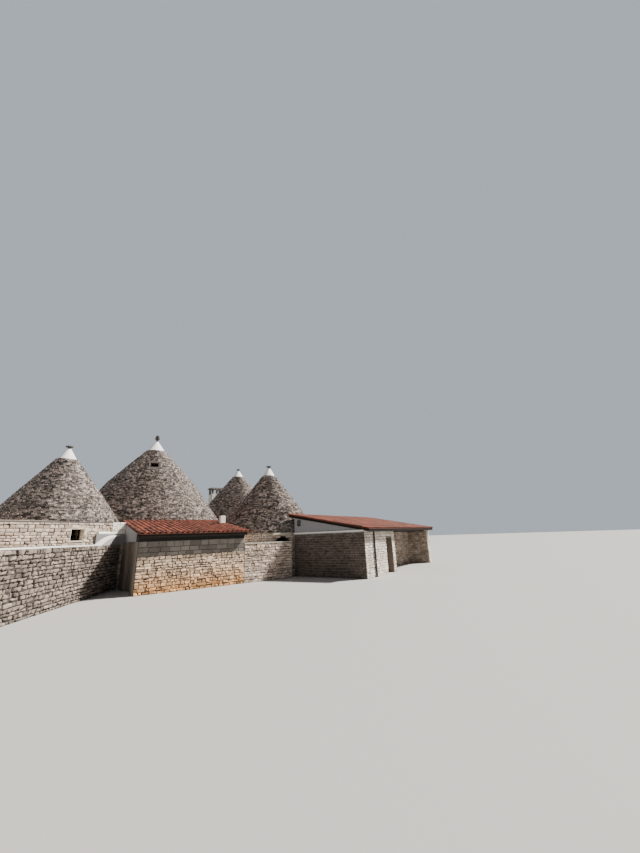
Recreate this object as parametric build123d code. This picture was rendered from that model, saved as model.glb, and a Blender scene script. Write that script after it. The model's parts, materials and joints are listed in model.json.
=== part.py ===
from build123d import *
from math import cos, radians, sin
import os

os.makedirs("parts", exist_ok=True)

# The origin is at the middle of the foot of the lean-to's front wall.
# X runs along that wall, Y runs back into the house and Z is up. Lengths are in millimetres.

# Lean-to, the tiled shed roof in the middle of the front
LEAN_WALL = 450
LEAN_WALL_LENGTH = 4250
LEAN_EAVE_HEIGHT = 2080
LEAN_PITCH = 0.163
LEAN_EAVE_OVERHANG = 295
LEAN_VERGE_OVERHANG = 60
LEAN_RIGHT_OVERHANG = 205
LEAN_BACK = 3710
LEAN_PLASTER_LINE = 1840
LEAN_RAFTERS = 7
LEAN_INFILL_BACK = 4945
SCREEN_BACK = 1700
SCREEN_DEPTH = 60
SCREEN_SETBACK = 80

# Tiles and rafters of both shed roofs
TILE_DEPTH = 110
RAFTER_DEPTH = 100
RAFTER_WIDTH = 80
FASCIA_SETBACK = 20
FASCIA_DEPTH = 30
FASCIA_HEIGHT = 115

# White vent chimney that stands on the lean-to's right edge
VENT_X = 1960
VENT_Y = 1980
VENT_SIDE = 240
VENT_TOP = 2930

# Big trullo, behind the lean-to
BIG_X = -200
BIG_Y = 7570
BIG_WALL_RADIUS = 3750
BIG_WALL = 700
BIG_EAVE_RADIUS = 3850
BIG_WALL_HEIGHT = 2850
BIG_APEX = 7750
BIG_CAP_RADIUS = 500
BIG_SWELL = 110
BIG_VAULT = 3400
BIG_PASSAGE = 5000

# Small opening high in the big cone
CONE_VENT_WIDTH = 400
CONE_VENT_HEIGHT = 230
CONE_VENT_CENTRE = 5970
CONE_VENT_FACING = -102
CONE_VENT_FRAME = 90
CONE_VENT_REACH = 180

# Rear trullo, behind and to the right
REAR_X = 6790
REAR_Y = 10920
REAR_WALL_RADIUS = 3060
REAR_WALL = 650
REAR_EAVE_RADIUS = 3160
REAR_WALL_HEIGHT = 2850
REAR_APEX = 7040
REAR_CAP_RADIUS = 380
REAR_SWELL = 42
REAR_VAULT = 3050
REAR_DOOR_FACING = 0

# Right trullo, between the lean-to and the wing
RIGHT_X = 5090
RIGHT_Y = 2930
RIGHT_WALL_RADIUS = 2540
RIGHT_WALL = 600
RIGHT_EAVE_RADIUS = 2660
RIGHT_WALL_HEIGHT = 2060
RIGHT_APEX = 5740
RIGHT_CAP_RADIUS = 340
RIGHT_SWELL = 10
RIGHT_VAULT = 2500
RIGHT_DOOR_FACING = -103

# Left house, a turned rectangular block that carries a cone
LEFT_X = -4607
LEFT_Y = 4272
LEFT_TURN = 24
LEFT_WALL = 600
LEFT_REACH_LEFT = 3180
LEFT_REACH_RIGHT = 2544
LEFT_HALF_DEPTH = 2417
LEFT_SHOULDER_DEPTH = 120
LEFT_SHOULDER_OVERHANG = 25
LEFT_HOUSE_HEIGHT = 2680
LEFT_EAVE_RADIUS = 2364
LEFT_ROOM_RADIUS = 1560
LEFT_APEX = 6060
LEFT_CAP_RADIUS = 370
LEFT_SWELL = 10
LEFT_VAULT = 2350
LEFT_WINDOW_U = -318
LEFT_WINDOW_HEAD = 142
LEFT_WINDOW_SIDE = 470
WINDOW_FRAME_BAR = 50
WINDOW_FRAME_DEPTH = 80
WINDOW_FRAME_SETBACK = 250

# Doorways
DOOR_WIDTH = 860
DOOR_HEIGHT = 1850

# Cone eaves, caps and finials
EAVE_LIP = 80
VAULT_SWELL = 160
CAP_TOP_RADIUS = 60
FINIAL_NECK_RADIUS = 55
FINIAL_NECK_HEIGHT = 60
FINIAL_DISC_HEIGHT = 50
FINIAL_DISC_RADIUS = 150
BIG_FINIAL_STEM = 160
BIG_FINIAL_STEM_RADIUS = 75
BIG_FINIAL_KNOB_RADIUS = 110
BIG_FINIAL_KNOB_HEIGHT = 190

# Chimney behind the rear trullo
CHIMNEY_LEFT_OF_REAR = 477
CHIMNEY_BEHIND_REAR = 3619
CHIMNEY_SIDE = 750
CHIMNEY_FLUE = 360
CHIMNEY_BODY_TOP = 5520
CHIMNEY_LEG = 140
CHIMNEY_LEG_HEIGHT = 450
CHIMNEY_SLAB_SIDE = 950
CHIMNEY_SLAB_DEPTH = 100

# Right wing, a tiled shed turned away from the lean-to, with an open porch
WING_X = 6130
WING_Y = -3960
WING_TURN = 18
WING_LENGTH = 8900
WING_DEPTH = 4500
WING_EAVE_HEIGHT = 2010
WING_PITCH = 0.19
WING_WALL = 450
WING_VERGE_OVERHANG = 80
WING_EAVE_OVERHANG = 300
WING_BACK_OVERHANG = 350
WING_ROOM_END = 3250
WING_PARTITION = 300
WING_PORCH_DEPTH = 1200
WING_BEAM_WIDTH = 160
WING_BEAM_DEPTH = 150
WING_BEAM_BEARING = 250
WING_DOOR_LEFT = 2250
WING_DOOR_WIDTH = 700
WING_DOOR_HEIGHT = 1600
WING_RAFTERS = 10
WING_RAFTER_INSET = 210
WING_LEDGE_TOP = 1990
WING_LEDGE_DEPTH = 60
WING_LEDGE_OUT = 60
DOWNPIPE_U = 900
DOWNPIPE_RADIUS = 40
DOWNPIPE_OFF_WALL = 25

# Garden walls of dry stone
YARD_START_X = -2350
YARD_START_Y = 2500
YARD_TURN = 60
YARD_LENGTH = 7000
YARD_WALL = 250
YARD_HEIGHT = 1800
YARD_COPING = 45
YARD_RAMP_LENGTH = 1550
YARD_RAMP_RISE = 350
YARD_RAMP_SWELL = 90
FORECOURT_WALL = 350
FORECOURT_HEIGHT = 1620
FORECOURT_RIGHT = 4560
FORECOURT_COPING = 50
FORECOURT_COPING_OUT = 30

# Stone slab over the right trullo's doorway
CANOPY_LEFT = 3800
CANOPY_RIGHT = 4790
CANOPY_FRONT = 130
CANOPY_BACK = 1500
CANOPY_UNDERSIDE = 1930
CANOPY_DEPTH = 90

# Gaps where one piece meets another
SEAT = 2
JOINT = 5

lean_half = LEAN_WALL_LENGTH / 2
lean_roof_half = lean_half + LEAN_VERGE_OVERHANG
lean_wall_front = -LEAN_WALL / 2
lean_wall_back = LEAN_WALL / 2
lean_roof_front = lean_wall_front - LEAN_EAVE_OVERHANG
left_wall_top = LEFT_HOUSE_HEIGHT - LEFT_SHOULDER_DEPTH
left_window_sill = left_wall_top - LEFT_WINDOW_HEAD - LEFT_WINDOW_SIDE
wing_wall_front = WING_EAVE_OVERHANG
wing_wall_back = WING_DEPTH - WING_BACK_OVERHANG
wing_wall_left = WING_VERGE_OVERHANG
wing_wall_right = WING_LENGTH - WING_VERGE_OVERHANG
wing_porch_back = wing_wall_front + WING_PORCH_DEPTH


def lean_under(y):
    """Height of the underside of the lean-to's tiles."""
    return LEAN_EAVE_HEIGHT + LEAN_PITCH * (y - lean_roof_front)


def wing_under(v):
    """Height of the underside of the wing's tiles."""
    return WING_EAVE_HEIGHT + WING_PITCH * v


def block(x0, x1, y0, y1, z0, z1):
    """A box between two corners."""
    box = Box(x1 - x0, y1 - y0, z1 - z0, align=(Align.MIN, Align.MIN, Align.MIN))
    return Pos(x0, y0, z0) * box


def prism(points, x0, x1):
    """A profile of (y, z) points carried along X."""
    face = Plane.YZ.offset(x0) * Polygon(*points, align=None)
    return extrude(face, amount=x1 - x0)


def shed_wall(under, x0, x1, y0, y1, lowered, foot=0):
    """A wall whose top follows a shed roof, lowered by the rafters' depth where they cross it."""
    points = [(y0, foot), (y1, foot), (y1, under(y1) - lowered), (y0, under(y0) - lowered)]
    return prism(points, x0, x1)


def shed_roof(under, x0, x1, y0, y1):
    """The sloping layer of tiles."""
    points = [(y0, under(y0)), (y1, under(y1)), (y1, under(y1) + TILE_DEPTH), (y0, under(y0) + TILE_DEPTH)]
    return prism(points, x0, x1)


def rafter_row(under, first, last, count, y0, y1):
    """Evenly spaced rafters between two places along the eave."""
    step = (last - first) / (count - 1)
    bars = []
    for index in range(count):
        centre = first + index * step
        points = [
            (y0, under(y0) - RAFTER_DEPTH),
            (y1, under(y1) - RAFTER_DEPTH),
            (y1, under(y1)),
            (y0, under(y0)),
        ]
        bars.append(prism(points, centre - RAFTER_WIDTH / 2, centre + RAFTER_WIDTH / 2))
    return bars


def fascia_board(under, x0, x1, y0, y1):
    """The board across the rafters' ends, with its top cut to the roof's slope."""
    return shed_wall(under, x0, x1, y0, y1, 0, foot=under(y0) - FASCIA_HEIGHT)


def doorway(width, height, depth):
    """The space of an arched doorway, with its foot at the origin and running along +X."""
    spring = height - width / 2
    straight = block(0, depth, -width / 2, width / 2, -SEAT, spring)
    arch = Pos(depth / 2, 0, spring) * Rot(0, 90, 0) * Cylinder(width / 2, depth)
    return straight + arch


def round_wall(x, y, radius, thickness, height, first_angle):
    """Half of a round wall."""
    ring = Plane.XZ * Polygon(
        (radius - thickness, 0), (radius, 0), (radius, height), (radius - thickness, height), align=None
    )
    half = revolve(ring, Axis.Z, 180)
    lowest = half.bounding_box().min.Y
    turned = first_angle if lowest > -SEAT else first_angle + 180
    return Pos(x, y, 0) * Rot(0, 0, turned) * half


def cone_top(eave_radius, eave, apex, cap_radius):
    """Height at which a cone of stone ends and its plaster cap starts."""
    return apex - cap_radius * (apex - eave) / eave_radius


def bulged(start, end, swell):
    """The middle of a line in a profile, moved outwards and upwards by swell."""
    return (start[0] + end[0]) / 2 + swell, (start[1] + end[1]) / 2 + swell


def upper_face(eave_radius, eave, apex, cap_radius, swell, height):
    """Radius of a cone's upper band at a height."""
    top = cone_top(eave_radius, eave, apex, cap_radius)
    middle = bulged((eave_radius, eave + EAVE_LIP), (cap_radius, top), swell)
    share = (height - middle[1]) / (top - middle[1])
    return middle[0] + (cap_radius - middle[0]) * share


def stone_cone(x, y, eave_radius, inner_radius, eave, apex, cap_radius, swell, vault):
    """A swollen conical roof over a pointed vault, both in straight bands like the courses of slabs."""
    top = cone_top(eave_radius, eave, apex, cap_radius)
    lip = (eave_radius, eave + EAVE_LIP)
    head = (cap_radius, top)
    spring = (inner_radius, eave)
    crown = (0, eave + vault)
    profile = Plane.XZ * Polygon(
        spring,
        (eave_radius, eave),
        lip,
        bulged(lip, head, swell),
        head,
        (0, top),
        crown,
        bulged(crown, spring, VAULT_SWELL),
        align=None,
    )
    return Pos(x, y, 0) * revolve(profile, Axis.Z, 360)


def cone_space(x, y, eave_radius, eave, apex, cap_radius, swell):
    """The space a stone cone takes up, without its vault, with a joint all round."""
    top = cone_top(eave_radius, eave, apex, cap_radius)
    lip = (eave_radius + JOINT, eave + EAVE_LIP + JOINT)
    head = (cap_radius + JOINT, top + JOINT)
    profile = Plane.XZ * Polygon(
        (0, eave - JOINT),
        (eave_radius + JOINT, eave - JOINT),
        lip,
        bulged(lip, head, swell),
        head,
        (0, top + JOINT),
        align=None,
    )
    return Pos(x, y, 0) * revolve(profile, Axis.Z, 360)


def plaster_cap(x, y, eave_radius, eave, apex, cap_radius):
    """The whitewashed tip of a cone, cut flat where the finial stands."""
    foot = cone_top(eave_radius, eave, apex, cap_radius)
    cap = Cone(cap_radius, CAP_TOP_RADIUS, apex - foot, align=(Align.CENTER, Align.CENTER, Align.MIN))
    return Pos(x, y, foot) * cap


def disc_finial(x, y, apex):
    """A short neck under a flat disc of stone."""
    upright = (Align.CENTER, Align.CENTER, Align.MIN)
    neck = Cylinder(FINIAL_NECK_RADIUS, FINIAL_NECK_HEIGHT, align=upright)
    disc = Pos(0, 0, FINIAL_NECK_HEIGHT) * Cylinder(FINIAL_DISC_RADIUS, FINIAL_DISC_HEIGHT, align=upright)
    return Pos(x, y, apex) * (neck + disc)


def knob_finial(x, y, apex):
    """The big cone's finial: a tapered stem, a disc and a squat knob."""
    upright = (Align.CENTER, Align.CENTER, Align.MIN)
    stem = Cone(BIG_FINIAL_STEM_RADIUS, FINIAL_NECK_RADIUS, BIG_FINIAL_STEM, align=upright)
    disc = Pos(0, 0, BIG_FINIAL_STEM) * Cylinder(FINIAL_DISC_RADIUS, FINIAL_DISC_HEIGHT, align=upright)
    third = BIG_FINIAL_KNOB_HEIGHT / 3
    foot = BIG_FINIAL_STEM + FINIAL_DISC_HEIGHT
    flare = Pos(0, 0, foot) * Cone(FINIAL_NECK_RADIUS, BIG_FINIAL_KNOB_RADIUS, third, align=upright)
    belly = Pos(0, 0, foot + third) * Cylinder(BIG_FINIAL_KNOB_RADIUS, third, align=upright)
    crown = Pos(0, 0, foot + 2 * third) * Cone(
        BIG_FINIAL_KNOB_RADIUS, FINIAL_NECK_RADIUS, third, align=upright
    )
    return Pos(x, y, apex) * (stem + disc + flare + belly + crown)


def cylinder_space(x, y, radius, height):
    """A tall cylinder, used to cut what stands against a round wall."""
    return Pos(x, y, -SEAT) * Cylinder(radius, height, align=(Align.CENTER, Align.CENTER, Align.MIN))


def left_frame(shape):
    """Place a shape made in the left house's own frame."""
    return Pos(LEFT_X, LEFT_Y, 0) * Rot(0, 0, LEFT_TURN) * shape


def wing_frame(shape):
    """Place a shape made in the wing's own frame, whose origin is under the front left roof corner."""
    return Pos(WING_X, WING_Y, 0) * Rot(0, 0, WING_TURN) * shape


def yard_frame(shape):
    """Place a shape made in the garden wall's own frame, which starts at the left house."""
    return Pos(YARD_START_X, YARD_START_Y, 0) * Rot(0, 0, YARD_TURN) * shape


def make_lean_to():
    """Walls, rafters, tiles and the vent chimney of the lean-to."""
    big_space = cylinder_space(BIG_X, BIG_Y, BIG_WALL_RADIUS + SEAT, BIG_WALL_HEIGHT)
    passage = Pos(BIG_X, BIG_Y, 0) * Rot(0, 0, -90) * doorway(DOOR_WIDTH, DOOR_HEIGHT, BIG_PASSAGE)
    room_back = LEAN_BACK - LEAN_WALL
    front = shed_wall(lean_under, -lean_half, lean_half, lean_wall_front, lean_wall_back, RAFTER_DEPTH)
    side = lean_half - LEAN_WALL
    screen_face = SCREEN_SETBACK - lean_half
    screen = block(
        screen_face, screen_face + SCREEN_DEPTH, lean_wall_back, SCREEN_BACK, 0, LEAN_PLASTER_LINE
    )
    gable_foot = block(-lean_half, -side, SCREEN_BACK, room_back, 0, LEAN_PLASTER_LINE)
    gable_head = shed_wall(
        lean_under, -lean_half, -side, lean_wall_back, room_back, 0, foot=LEAN_PLASTER_LINE
    )
    right = shed_wall(lean_under, side, lean_half, lean_wall_back, room_back, 0)
    back = prism(
        [
            (room_back, 0),
            (LEAN_INFILL_BACK, 0),
            (LEAN_INFILL_BACK, lean_under(LEAN_BACK)),
            (LEAN_BACK, lean_under(LEAN_BACK)),
            (room_back, lean_under(room_back)),
        ],
        -lean_half,
        lean_half,
    )
    roof_right = lean_half + LEAN_RIGHT_OVERHANG
    roof = shed_roof(lean_under, -lean_roof_half, roof_right, lean_roof_front, LEAN_BACK)
    first = side - RAFTER_WIDTH
    fascia_front = lean_roof_front + FASCIA_SETBACK
    fascia_back = fascia_front + FASCIA_DEPTH
    fascia = fascia_board(lean_under, -lean_half, lean_half, fascia_front, fascia_back)
    rafters = rafter_row(lean_under, -first, first, LEAN_RAFTERS, fascia_back, room_back)
    vent_front = VENT_Y - VENT_SIDE / 2
    vent_back = VENT_Y + VENT_SIDE / 2
    vent = prism(
        [
            (vent_front, lean_under(vent_front) + TILE_DEPTH),
            (vent_back, lean_under(vent_back) + TILE_DEPTH),
            (vent_back, VENT_TOP),
            (vent_front, VENT_TOP),
        ],
        VENT_X - VENT_SIDE / 2,
        VENT_X + VENT_SIDE / 2,
    )
    return {
        "lean_to_front_wall": front,
        "lean_to_left_wall": gable_foot,
        "lean_to_board_screen": screen,
        "lean_to_plaster_gable": gable_head,
        "lean_to_right_wall": right,
        "lean_to_back_wall": back - big_space - passage,
        "lean_to_tile_roof": roof,
        "lean_to_rafters": rafters,
        "lean_to_fascia": fascia,
        "lean_to_vent_chimney": vent,
    }


def make_big_trullo():
    """The round walls and the cone of the big trullo, with the vent high in the cone."""
    passage = Pos(BIG_X, BIG_Y, 0) * Rot(0, 0, -90) * doorway(DOOR_WIDTH, DOOR_HEIGHT, BIG_PASSAGE)
    back_door = Pos(BIG_X, BIG_Y, 0) * Rot(0, 0, 90) * doorway(DOOR_WIDTH, DOOR_HEIGHT, BIG_PASSAGE)
    front = round_wall(BIG_X, BIG_Y, BIG_WALL_RADIUS, BIG_WALL, BIG_WALL_HEIGHT, 180)
    back = round_wall(BIG_X, BIG_Y, BIG_WALL_RADIUS, BIG_WALL, BIG_WALL_HEIGHT, 0)
    inner = BIG_WALL_RADIUS - BIG_WALL
    cone = stone_cone(
        BIG_X,
        BIG_Y,
        BIG_EAVE_RADIUS,
        inner,
        BIG_WALL_HEIGHT,
        BIG_APEX,
        BIG_CAP_RADIUS,
        BIG_SWELL,
        BIG_VAULT,
    )
    face = upper_face(
        BIG_EAVE_RADIUS, BIG_WALL_HEIGHT, BIG_APEX, BIG_CAP_RADIUS, BIG_SWELL, CONE_VENT_CENTRE
    )
    half = CONE_VENT_WIDTH / 2
    low = CONE_VENT_CENTRE - CONE_VENT_HEIGHT / 2
    high = CONE_VENT_CENTRE + CONE_VENT_HEIGHT / 2
    turn = Pos(BIG_X, BIG_Y, 0) * Rot(0, 0, CONE_VENT_FACING)
    bar = CONE_VENT_FRAME
    inner_end, outer_end = face - CONE_VENT_REACH, face + CONE_VENT_REACH
    hole = block(0, outer_end + SEAT, -half, half, low, high)
    outer = block(inner_end, outer_end, -half - bar, half + bar, low - bar, high + bar)
    frame = turn * (outer - hole)
    cone = cone - turn * (hole + outer)
    return {
        "big_trullo_front_wall": front - passage,
        "big_trullo_back_wall": back - back_door,
        "big_trullo_cone": cone,
        "big_trullo_vent_frame": frame,
    }


def make_round_trullo(name, x, y, radius, thickness, height, eave_radius, apex, cap, swell, vault, facing):
    """A round trullo with one arched doorway."""
    way = Pos(x, y, 0) * Rot(0, 0, facing) * doorway(DOOR_WIDTH, DOOR_HEIGHT, 2 * radius)
    front = round_wall(x, y, radius, thickness, height, 180)
    back = round_wall(x, y, radius, thickness, height, 0)
    cone = stone_cone(x, y, eave_radius, radius - thickness, height, apex, cap, swell, vault)
    return {name + "_front_wall": front - way, name + "_back_wall": back - way, name + "_cone": cone}


def make_left_house():
    """The turned block on the left, its shoulder slab, cone, window and doorway."""
    left, right, deep = -LEFT_REACH_LEFT, LEFT_REACH_RIGHT, LEFT_HALF_DEPTH
    room = deep - LEFT_WALL
    span = LEFT_REACH_LEFT + LEFT_REACH_RIGHT + BIG_WALL_RADIUS
    clear_lean = block(-lean_half - JOINT, span, -span, 2 * span, -SEAT, LEFT_APEX)
    clear_roof = block(-lean_roof_half - JOINT, span, -span, 2 * span, -SEAT, LEFT_APEX)
    clear_big = cylinder_space(BIG_X, BIG_Y, BIG_WALL_RADIUS + JOINT, BIG_WALL_HEIGHT)
    window = block(
        LEFT_WINDOW_U - LEFT_WINDOW_SIDE / 2,
        LEFT_WINDOW_U + LEFT_WINDOW_SIDE / 2,
        -deep - SEAT,
        -room + SEAT,
        left_window_sill,
        left_window_sill + LEFT_WINDOW_SIDE,
    )
    way = Rot(0, 0, 180) * doorway(DOOR_WIDTH, DOOR_HEIGHT, LEFT_REACH_LEFT + JOINT)
    walls = {
        "left_house_front_wall": block(left, right, -deep, -room, 0, left_wall_top) - window,
        "left_house_right_wall": block(right - LEFT_WALL, right, -room, room, 0, left_wall_top),
        "left_house_back_wall": block(left, right, room, deep, 0, left_wall_top),
        "left_house_left_wall": block(left, left + LEFT_WALL, -room, room, 0, left_wall_top) - way,
    }
    big_cone = cone_space(
        BIG_X, BIG_Y, BIG_EAVE_RADIUS, BIG_WALL_HEIGHT, BIG_APEX, BIG_CAP_RADIUS, BIG_SWELL
    )
    clear_big = clear_big + big_cone
    parts = {name: left_frame(wall) - clear_lean - clear_big for name, wall in walls.items()}
    over = LEFT_SHOULDER_OVERHANG
    slab = block(left - over, right + over, -deep - over, deep + over, left_wall_top, LEFT_HOUSE_HEIGHT)
    slab = slab - cylinder_space(0, 0, LEFT_ROOM_RADIUS, LEFT_APEX)
    parts["left_house_shoulder_slab"] = left_frame(slab) - clear_roof - clear_big
    cone = stone_cone(
        LEFT_X,
        LEFT_Y,
        LEFT_EAVE_RADIUS,
        LEFT_ROOM_RADIUS,
        LEFT_HOUSE_HEIGHT,
        LEFT_APEX,
        LEFT_CAP_RADIUS,
        LEFT_SWELL,
        LEFT_VAULT,
    )
    parts["left_house_cone"] = cone - clear_big
    half = LEFT_WINDOW_SIDE / 2
    front = -deep + WINDOW_FRAME_SETBACK
    back = front + WINDOW_FRAME_DEPTH
    top = left_window_sill + LEFT_WINDOW_SIDE
    bar = WINDOW_FRAME_BAR
    rim = block(LEFT_WINDOW_U - half, LEFT_WINDOW_U + half, front, back, left_window_sill, top)
    light = block(
        LEFT_WINDOW_U - half + bar,
        LEFT_WINDOW_U + half - bar,
        front - SEAT,
        back + SEAT,
        left_window_sill + bar,
        top - bar,
    )
    parts["left_house_window_frame"] = left_frame(rim - light)
    return parts


def make_caps():
    """The four plaster caps and the four finials on them."""
    cones = [
        (BIG_X, BIG_Y, BIG_EAVE_RADIUS, BIG_WALL_HEIGHT, BIG_APEX, BIG_CAP_RADIUS),
        (REAR_X, REAR_Y, REAR_EAVE_RADIUS, REAR_WALL_HEIGHT, REAR_APEX, REAR_CAP_RADIUS),
        (RIGHT_X, RIGHT_Y, RIGHT_EAVE_RADIUS, RIGHT_WALL_HEIGHT, RIGHT_APEX, RIGHT_CAP_RADIUS),
        (LEFT_X, LEFT_Y, LEFT_EAVE_RADIUS, LEFT_HOUSE_HEIGHT, LEFT_APEX, LEFT_CAP_RADIUS),
    ]
    caps = [plaster_cap(*cone) for cone in cones]
    finials = [knob_finial(BIG_X, BIG_Y, BIG_APEX)]
    for x, y, _, _, apex, _ in cones[1:]:
        finials.append(disc_finial(x, y, apex))
    return {"plaster_caps": caps, "stone_finials": finials}


def make_chimney():
    """The square chimney with a slab on four legs."""
    half = CHIMNEY_SIDE / 2
    flue_half = CHIMNEY_FLUE / 2
    flue = block(-flue_half, flue_half, -flue_half, flue_half, -SEAT, CHIMNEY_BODY_TOP + SEAT)
    body = block(-half, half, -half, half, 0, CHIMNEY_BODY_TOP) - flue
    legs = []
    slab_half = CHIMNEY_SLAB_SIDE / 2
    slab_foot = CHIMNEY_BODY_TOP + CHIMNEY_LEG_HEIGHT
    hood = block(-slab_half, slab_half, -slab_half, slab_half, slab_foot, slab_foot + CHIMNEY_SLAB_DEPTH)
    inset = half - CHIMNEY_LEG
    for x in (-half, inset):
        for y in (-half, inset):
            leg = block(x, x + CHIMNEY_LEG, y, y + CHIMNEY_LEG, CHIMNEY_BODY_TOP, slab_foot)
            legs.append(leg)
    hood = hood.fuse(*legs)
    place = Pos(REAR_X - CHIMNEY_LEFT_OF_REAR, REAR_Y + CHIMNEY_BEHIND_REAR, 0)
    return {"chimney_stack": place * body, "chimney_hood": place * hood}


def make_wing():
    """The right wing: closed rooms, and an open porch whose eave runs on a beam."""
    left, right = wing_wall_left, wing_wall_right
    front, back = wing_wall_front, wing_wall_back
    porch = wing_porch_back
    beam_front = front + (WING_WALL - WING_BEAM_WIDTH) / 2
    beam_back = beam_front + WING_BEAM_WIDTH
    beam_foot = wing_under(beam_front) - RAFTER_DEPTH - WING_BEAM_DEPTH
    beam = shed_wall(
        wing_under,
        WING_ROOM_END - WING_BEAM_BEARING,
        right - WING_WALL + WING_BEAM_BEARING,
        beam_front,
        beam_back,
        RAFTER_DEPTH,
        beam_foot,
    )
    room_wall = shed_wall(
        wing_under, left + WING_WALL, WING_ROOM_END, front, front + WING_WALL, RAFTER_DEPTH
    )
    way = block(
        WING_DOOR_LEFT,
        WING_DOOR_LEFT + WING_DOOR_WIDTH,
        front - SEAT,
        front + WING_WALL + SEAT,
        -SEAT,
        WING_DOOR_HEIGHT,
    )
    side = WING_ROOM_END - WING_PARTITION
    partition = shed_wall(wing_under, side, WING_ROOM_END, front + WING_WALL, porch, RAFTER_DEPTH)
    porch_wall = shed_wall(wing_under, side, right - WING_WALL, porch, porch + WING_WALL, RAFTER_DEPTH)
    gable = shed_wall(wing_under, left, left + WING_WALL, front, back, 0)
    end = shed_wall(wing_under, right - WING_WALL, right, front, back, 0)
    rear = shed_wall(wing_under, left + WING_WALL, right - WING_WALL, back - WING_WALL, back, RAFTER_DEPTH)
    first = left + WING_WALL + WING_RAFTER_INSET
    last = right - WING_WALL - WING_RAFTER_INSET
    fascia_back = FASCIA_SETBACK + FASCIA_DEPTH
    fascia = fascia_board(wing_under, left, right, FASCIA_SETBACK, fascia_back)
    rafters = rafter_row(wing_under, first, last, WING_RAFTERS, fascia_back, back)
    ledge = block(
        left - WING_LEDGE_OUT, left, front, back, WING_LEDGE_TOP - WING_LEDGE_DEPTH, WING_LEDGE_TOP
    )
    pipe_v = front - DOWNPIPE_OFF_WALL - DOWNPIPE_RADIUS
    pipe_top = wing_under(pipe_v - DOWNPIPE_RADIUS) - JOINT
    pipe = Pos(DOWNPIPE_U, pipe_v, 0) * Cylinder(
        DOWNPIPE_RADIUS, pipe_top, align=(Align.CENTER, Align.CENTER, Align.MIN)
    )
    parts = {
        "wing_gable_wall": gable,
        "wing_room_front_wall": room_wall - beam - way,
        "wing_porch_side_wall": partition,
        "wing_porch_back_wall": porch_wall,
        "wing_porch_beam": beam,
        "wing_end_wall": end - beam,
        "wing_rear_wall": rear,
        "wing_tile_roof": shed_roof(wing_under, 0, WING_LENGTH, 0, WING_DEPTH),
        "wing_rafters": rafters,
        "wing_fascia": fascia,
        "wing_ledge": ledge,
        "wing_downpipe": pipe,
    }
    placed = {}
    for name, shape in parts.items():
        placed[name] = [wing_frame(bar) for bar in shape] if isinstance(shape, list) else wing_frame(shape)
    return placed


def yard_profile(lowered, foot_line):
    """Outline of the garden wall seen from the front, with its top raised in a curve at the gable."""
    flat = YARD_HEIGHT - lowered
    high = flat + YARD_RAMP_RISE
    middle = (-YARD_RAMP_LENGTH / 2, (flat + high) / 2 + YARD_RAMP_SWELL)
    outline = Line((-YARD_LENGTH, flat), (-YARD_RAMP_LENGTH, flat))
    outline += ThreePointArc((-YARD_RAMP_LENGTH, flat), middle, (0, high))
    outline += Line((0, high), (YARD_WALL, high))
    if foot_line:
        outline += Line((YARD_WALL, high), (YARD_WALL, 0))
        outline += Line((YARD_WALL, 0), (-YARD_LENGTH, 0))
        outline += Line((-YARD_LENGTH, 0), (-YARD_LENGTH, flat))
    else:
        low = flat - YARD_COPING
        low_middle = (middle[0], middle[1] - YARD_COPING)
        outline += Line((YARD_WALL, high), (YARD_WALL, high - YARD_COPING))
        outline += Line((YARD_WALL, high - YARD_COPING), (0, high - YARD_COPING))
        outline += ThreePointArc((0, high - YARD_COPING), low_middle, (-YARD_RAMP_LENGTH, low))
        outline += Line((-YARD_RAMP_LENGTH, low), (-YARD_LENGTH, low))
        outline += Line((-YARD_LENGTH, low), (-YARD_LENGTH, flat))
    return make_face(Plane.XZ * outline)


def make_garden_walls():
    """The dry-stone wall on the left with its coping, the forecourt wall and the slab over the doorway."""
    span = YARD_LENGTH + YARD_WALL
    clear_lean = block(-lean_half - JOINT, span, -span, span, -SEAT, LEFT_APEX)
    house_front = left_frame(
        block(-2 * span, 2 * span, -LEFT_HALF_DEPTH - JOINT, 2 * span, -SEAT, LEFT_APEX)
    )
    body = extrude(yard_profile(YARD_COPING, True), amount=YARD_WALL, dir=(0, 1, 0))
    coping = extrude(yard_profile(0, False), amount=YARD_WALL, dir=(0, 1, 0))
    wall = yard_frame(body) - clear_lean - house_front
    top = yard_frame(coping) - clear_lean - house_front
    fore_front, fore_back = lean_wall_front, lean_wall_front + FORECOURT_WALL
    fore_top = FORECOURT_HEIGHT - FORECOURT_COPING
    forecourt = block(lean_half, FORECOURT_RIGHT, fore_front, fore_back, 0, fore_top)
    out = FORECOURT_COPING_OUT
    fore_coping = block(
        lean_half, FORECOURT_RIGHT + out, fore_front - out, fore_back + out, fore_top, FORECOURT_HEIGHT
    )
    canopy_top = CANOPY_UNDERSIDE + CANOPY_DEPTH
    canopy = block(
        CANOPY_LEFT, CANOPY_RIGHT, CANOPY_FRONT, CANOPY_BACK, CANOPY_UNDERSIDE, canopy_top
    )
    canopy = canopy - cylinder_space(RIGHT_X, RIGHT_Y, RIGHT_WALL_RADIUS + SEAT, RIGHT_WALL_HEIGHT)
    return {
        "garden_wall": wall,
        "garden_wall_coping": top,
        "forecourt_wall": forecourt,
        "forecourt_coping": fore_coping,
        "doorway_canopy_slab": canopy,
    }


def save(nodes):
    """Write each node to its own file; a node of like pieces holds them as separate solids."""
    for name, shape in nodes.items():
        solids = []
        for piece in shape if isinstance(shape, list) else [shape]:
            solids.extend(piece.solids())
        whole = solids[0] if len(solids) == 1 else Compound(children=solids)
        export_step(whole, "parts/" + name + ".step")


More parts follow.
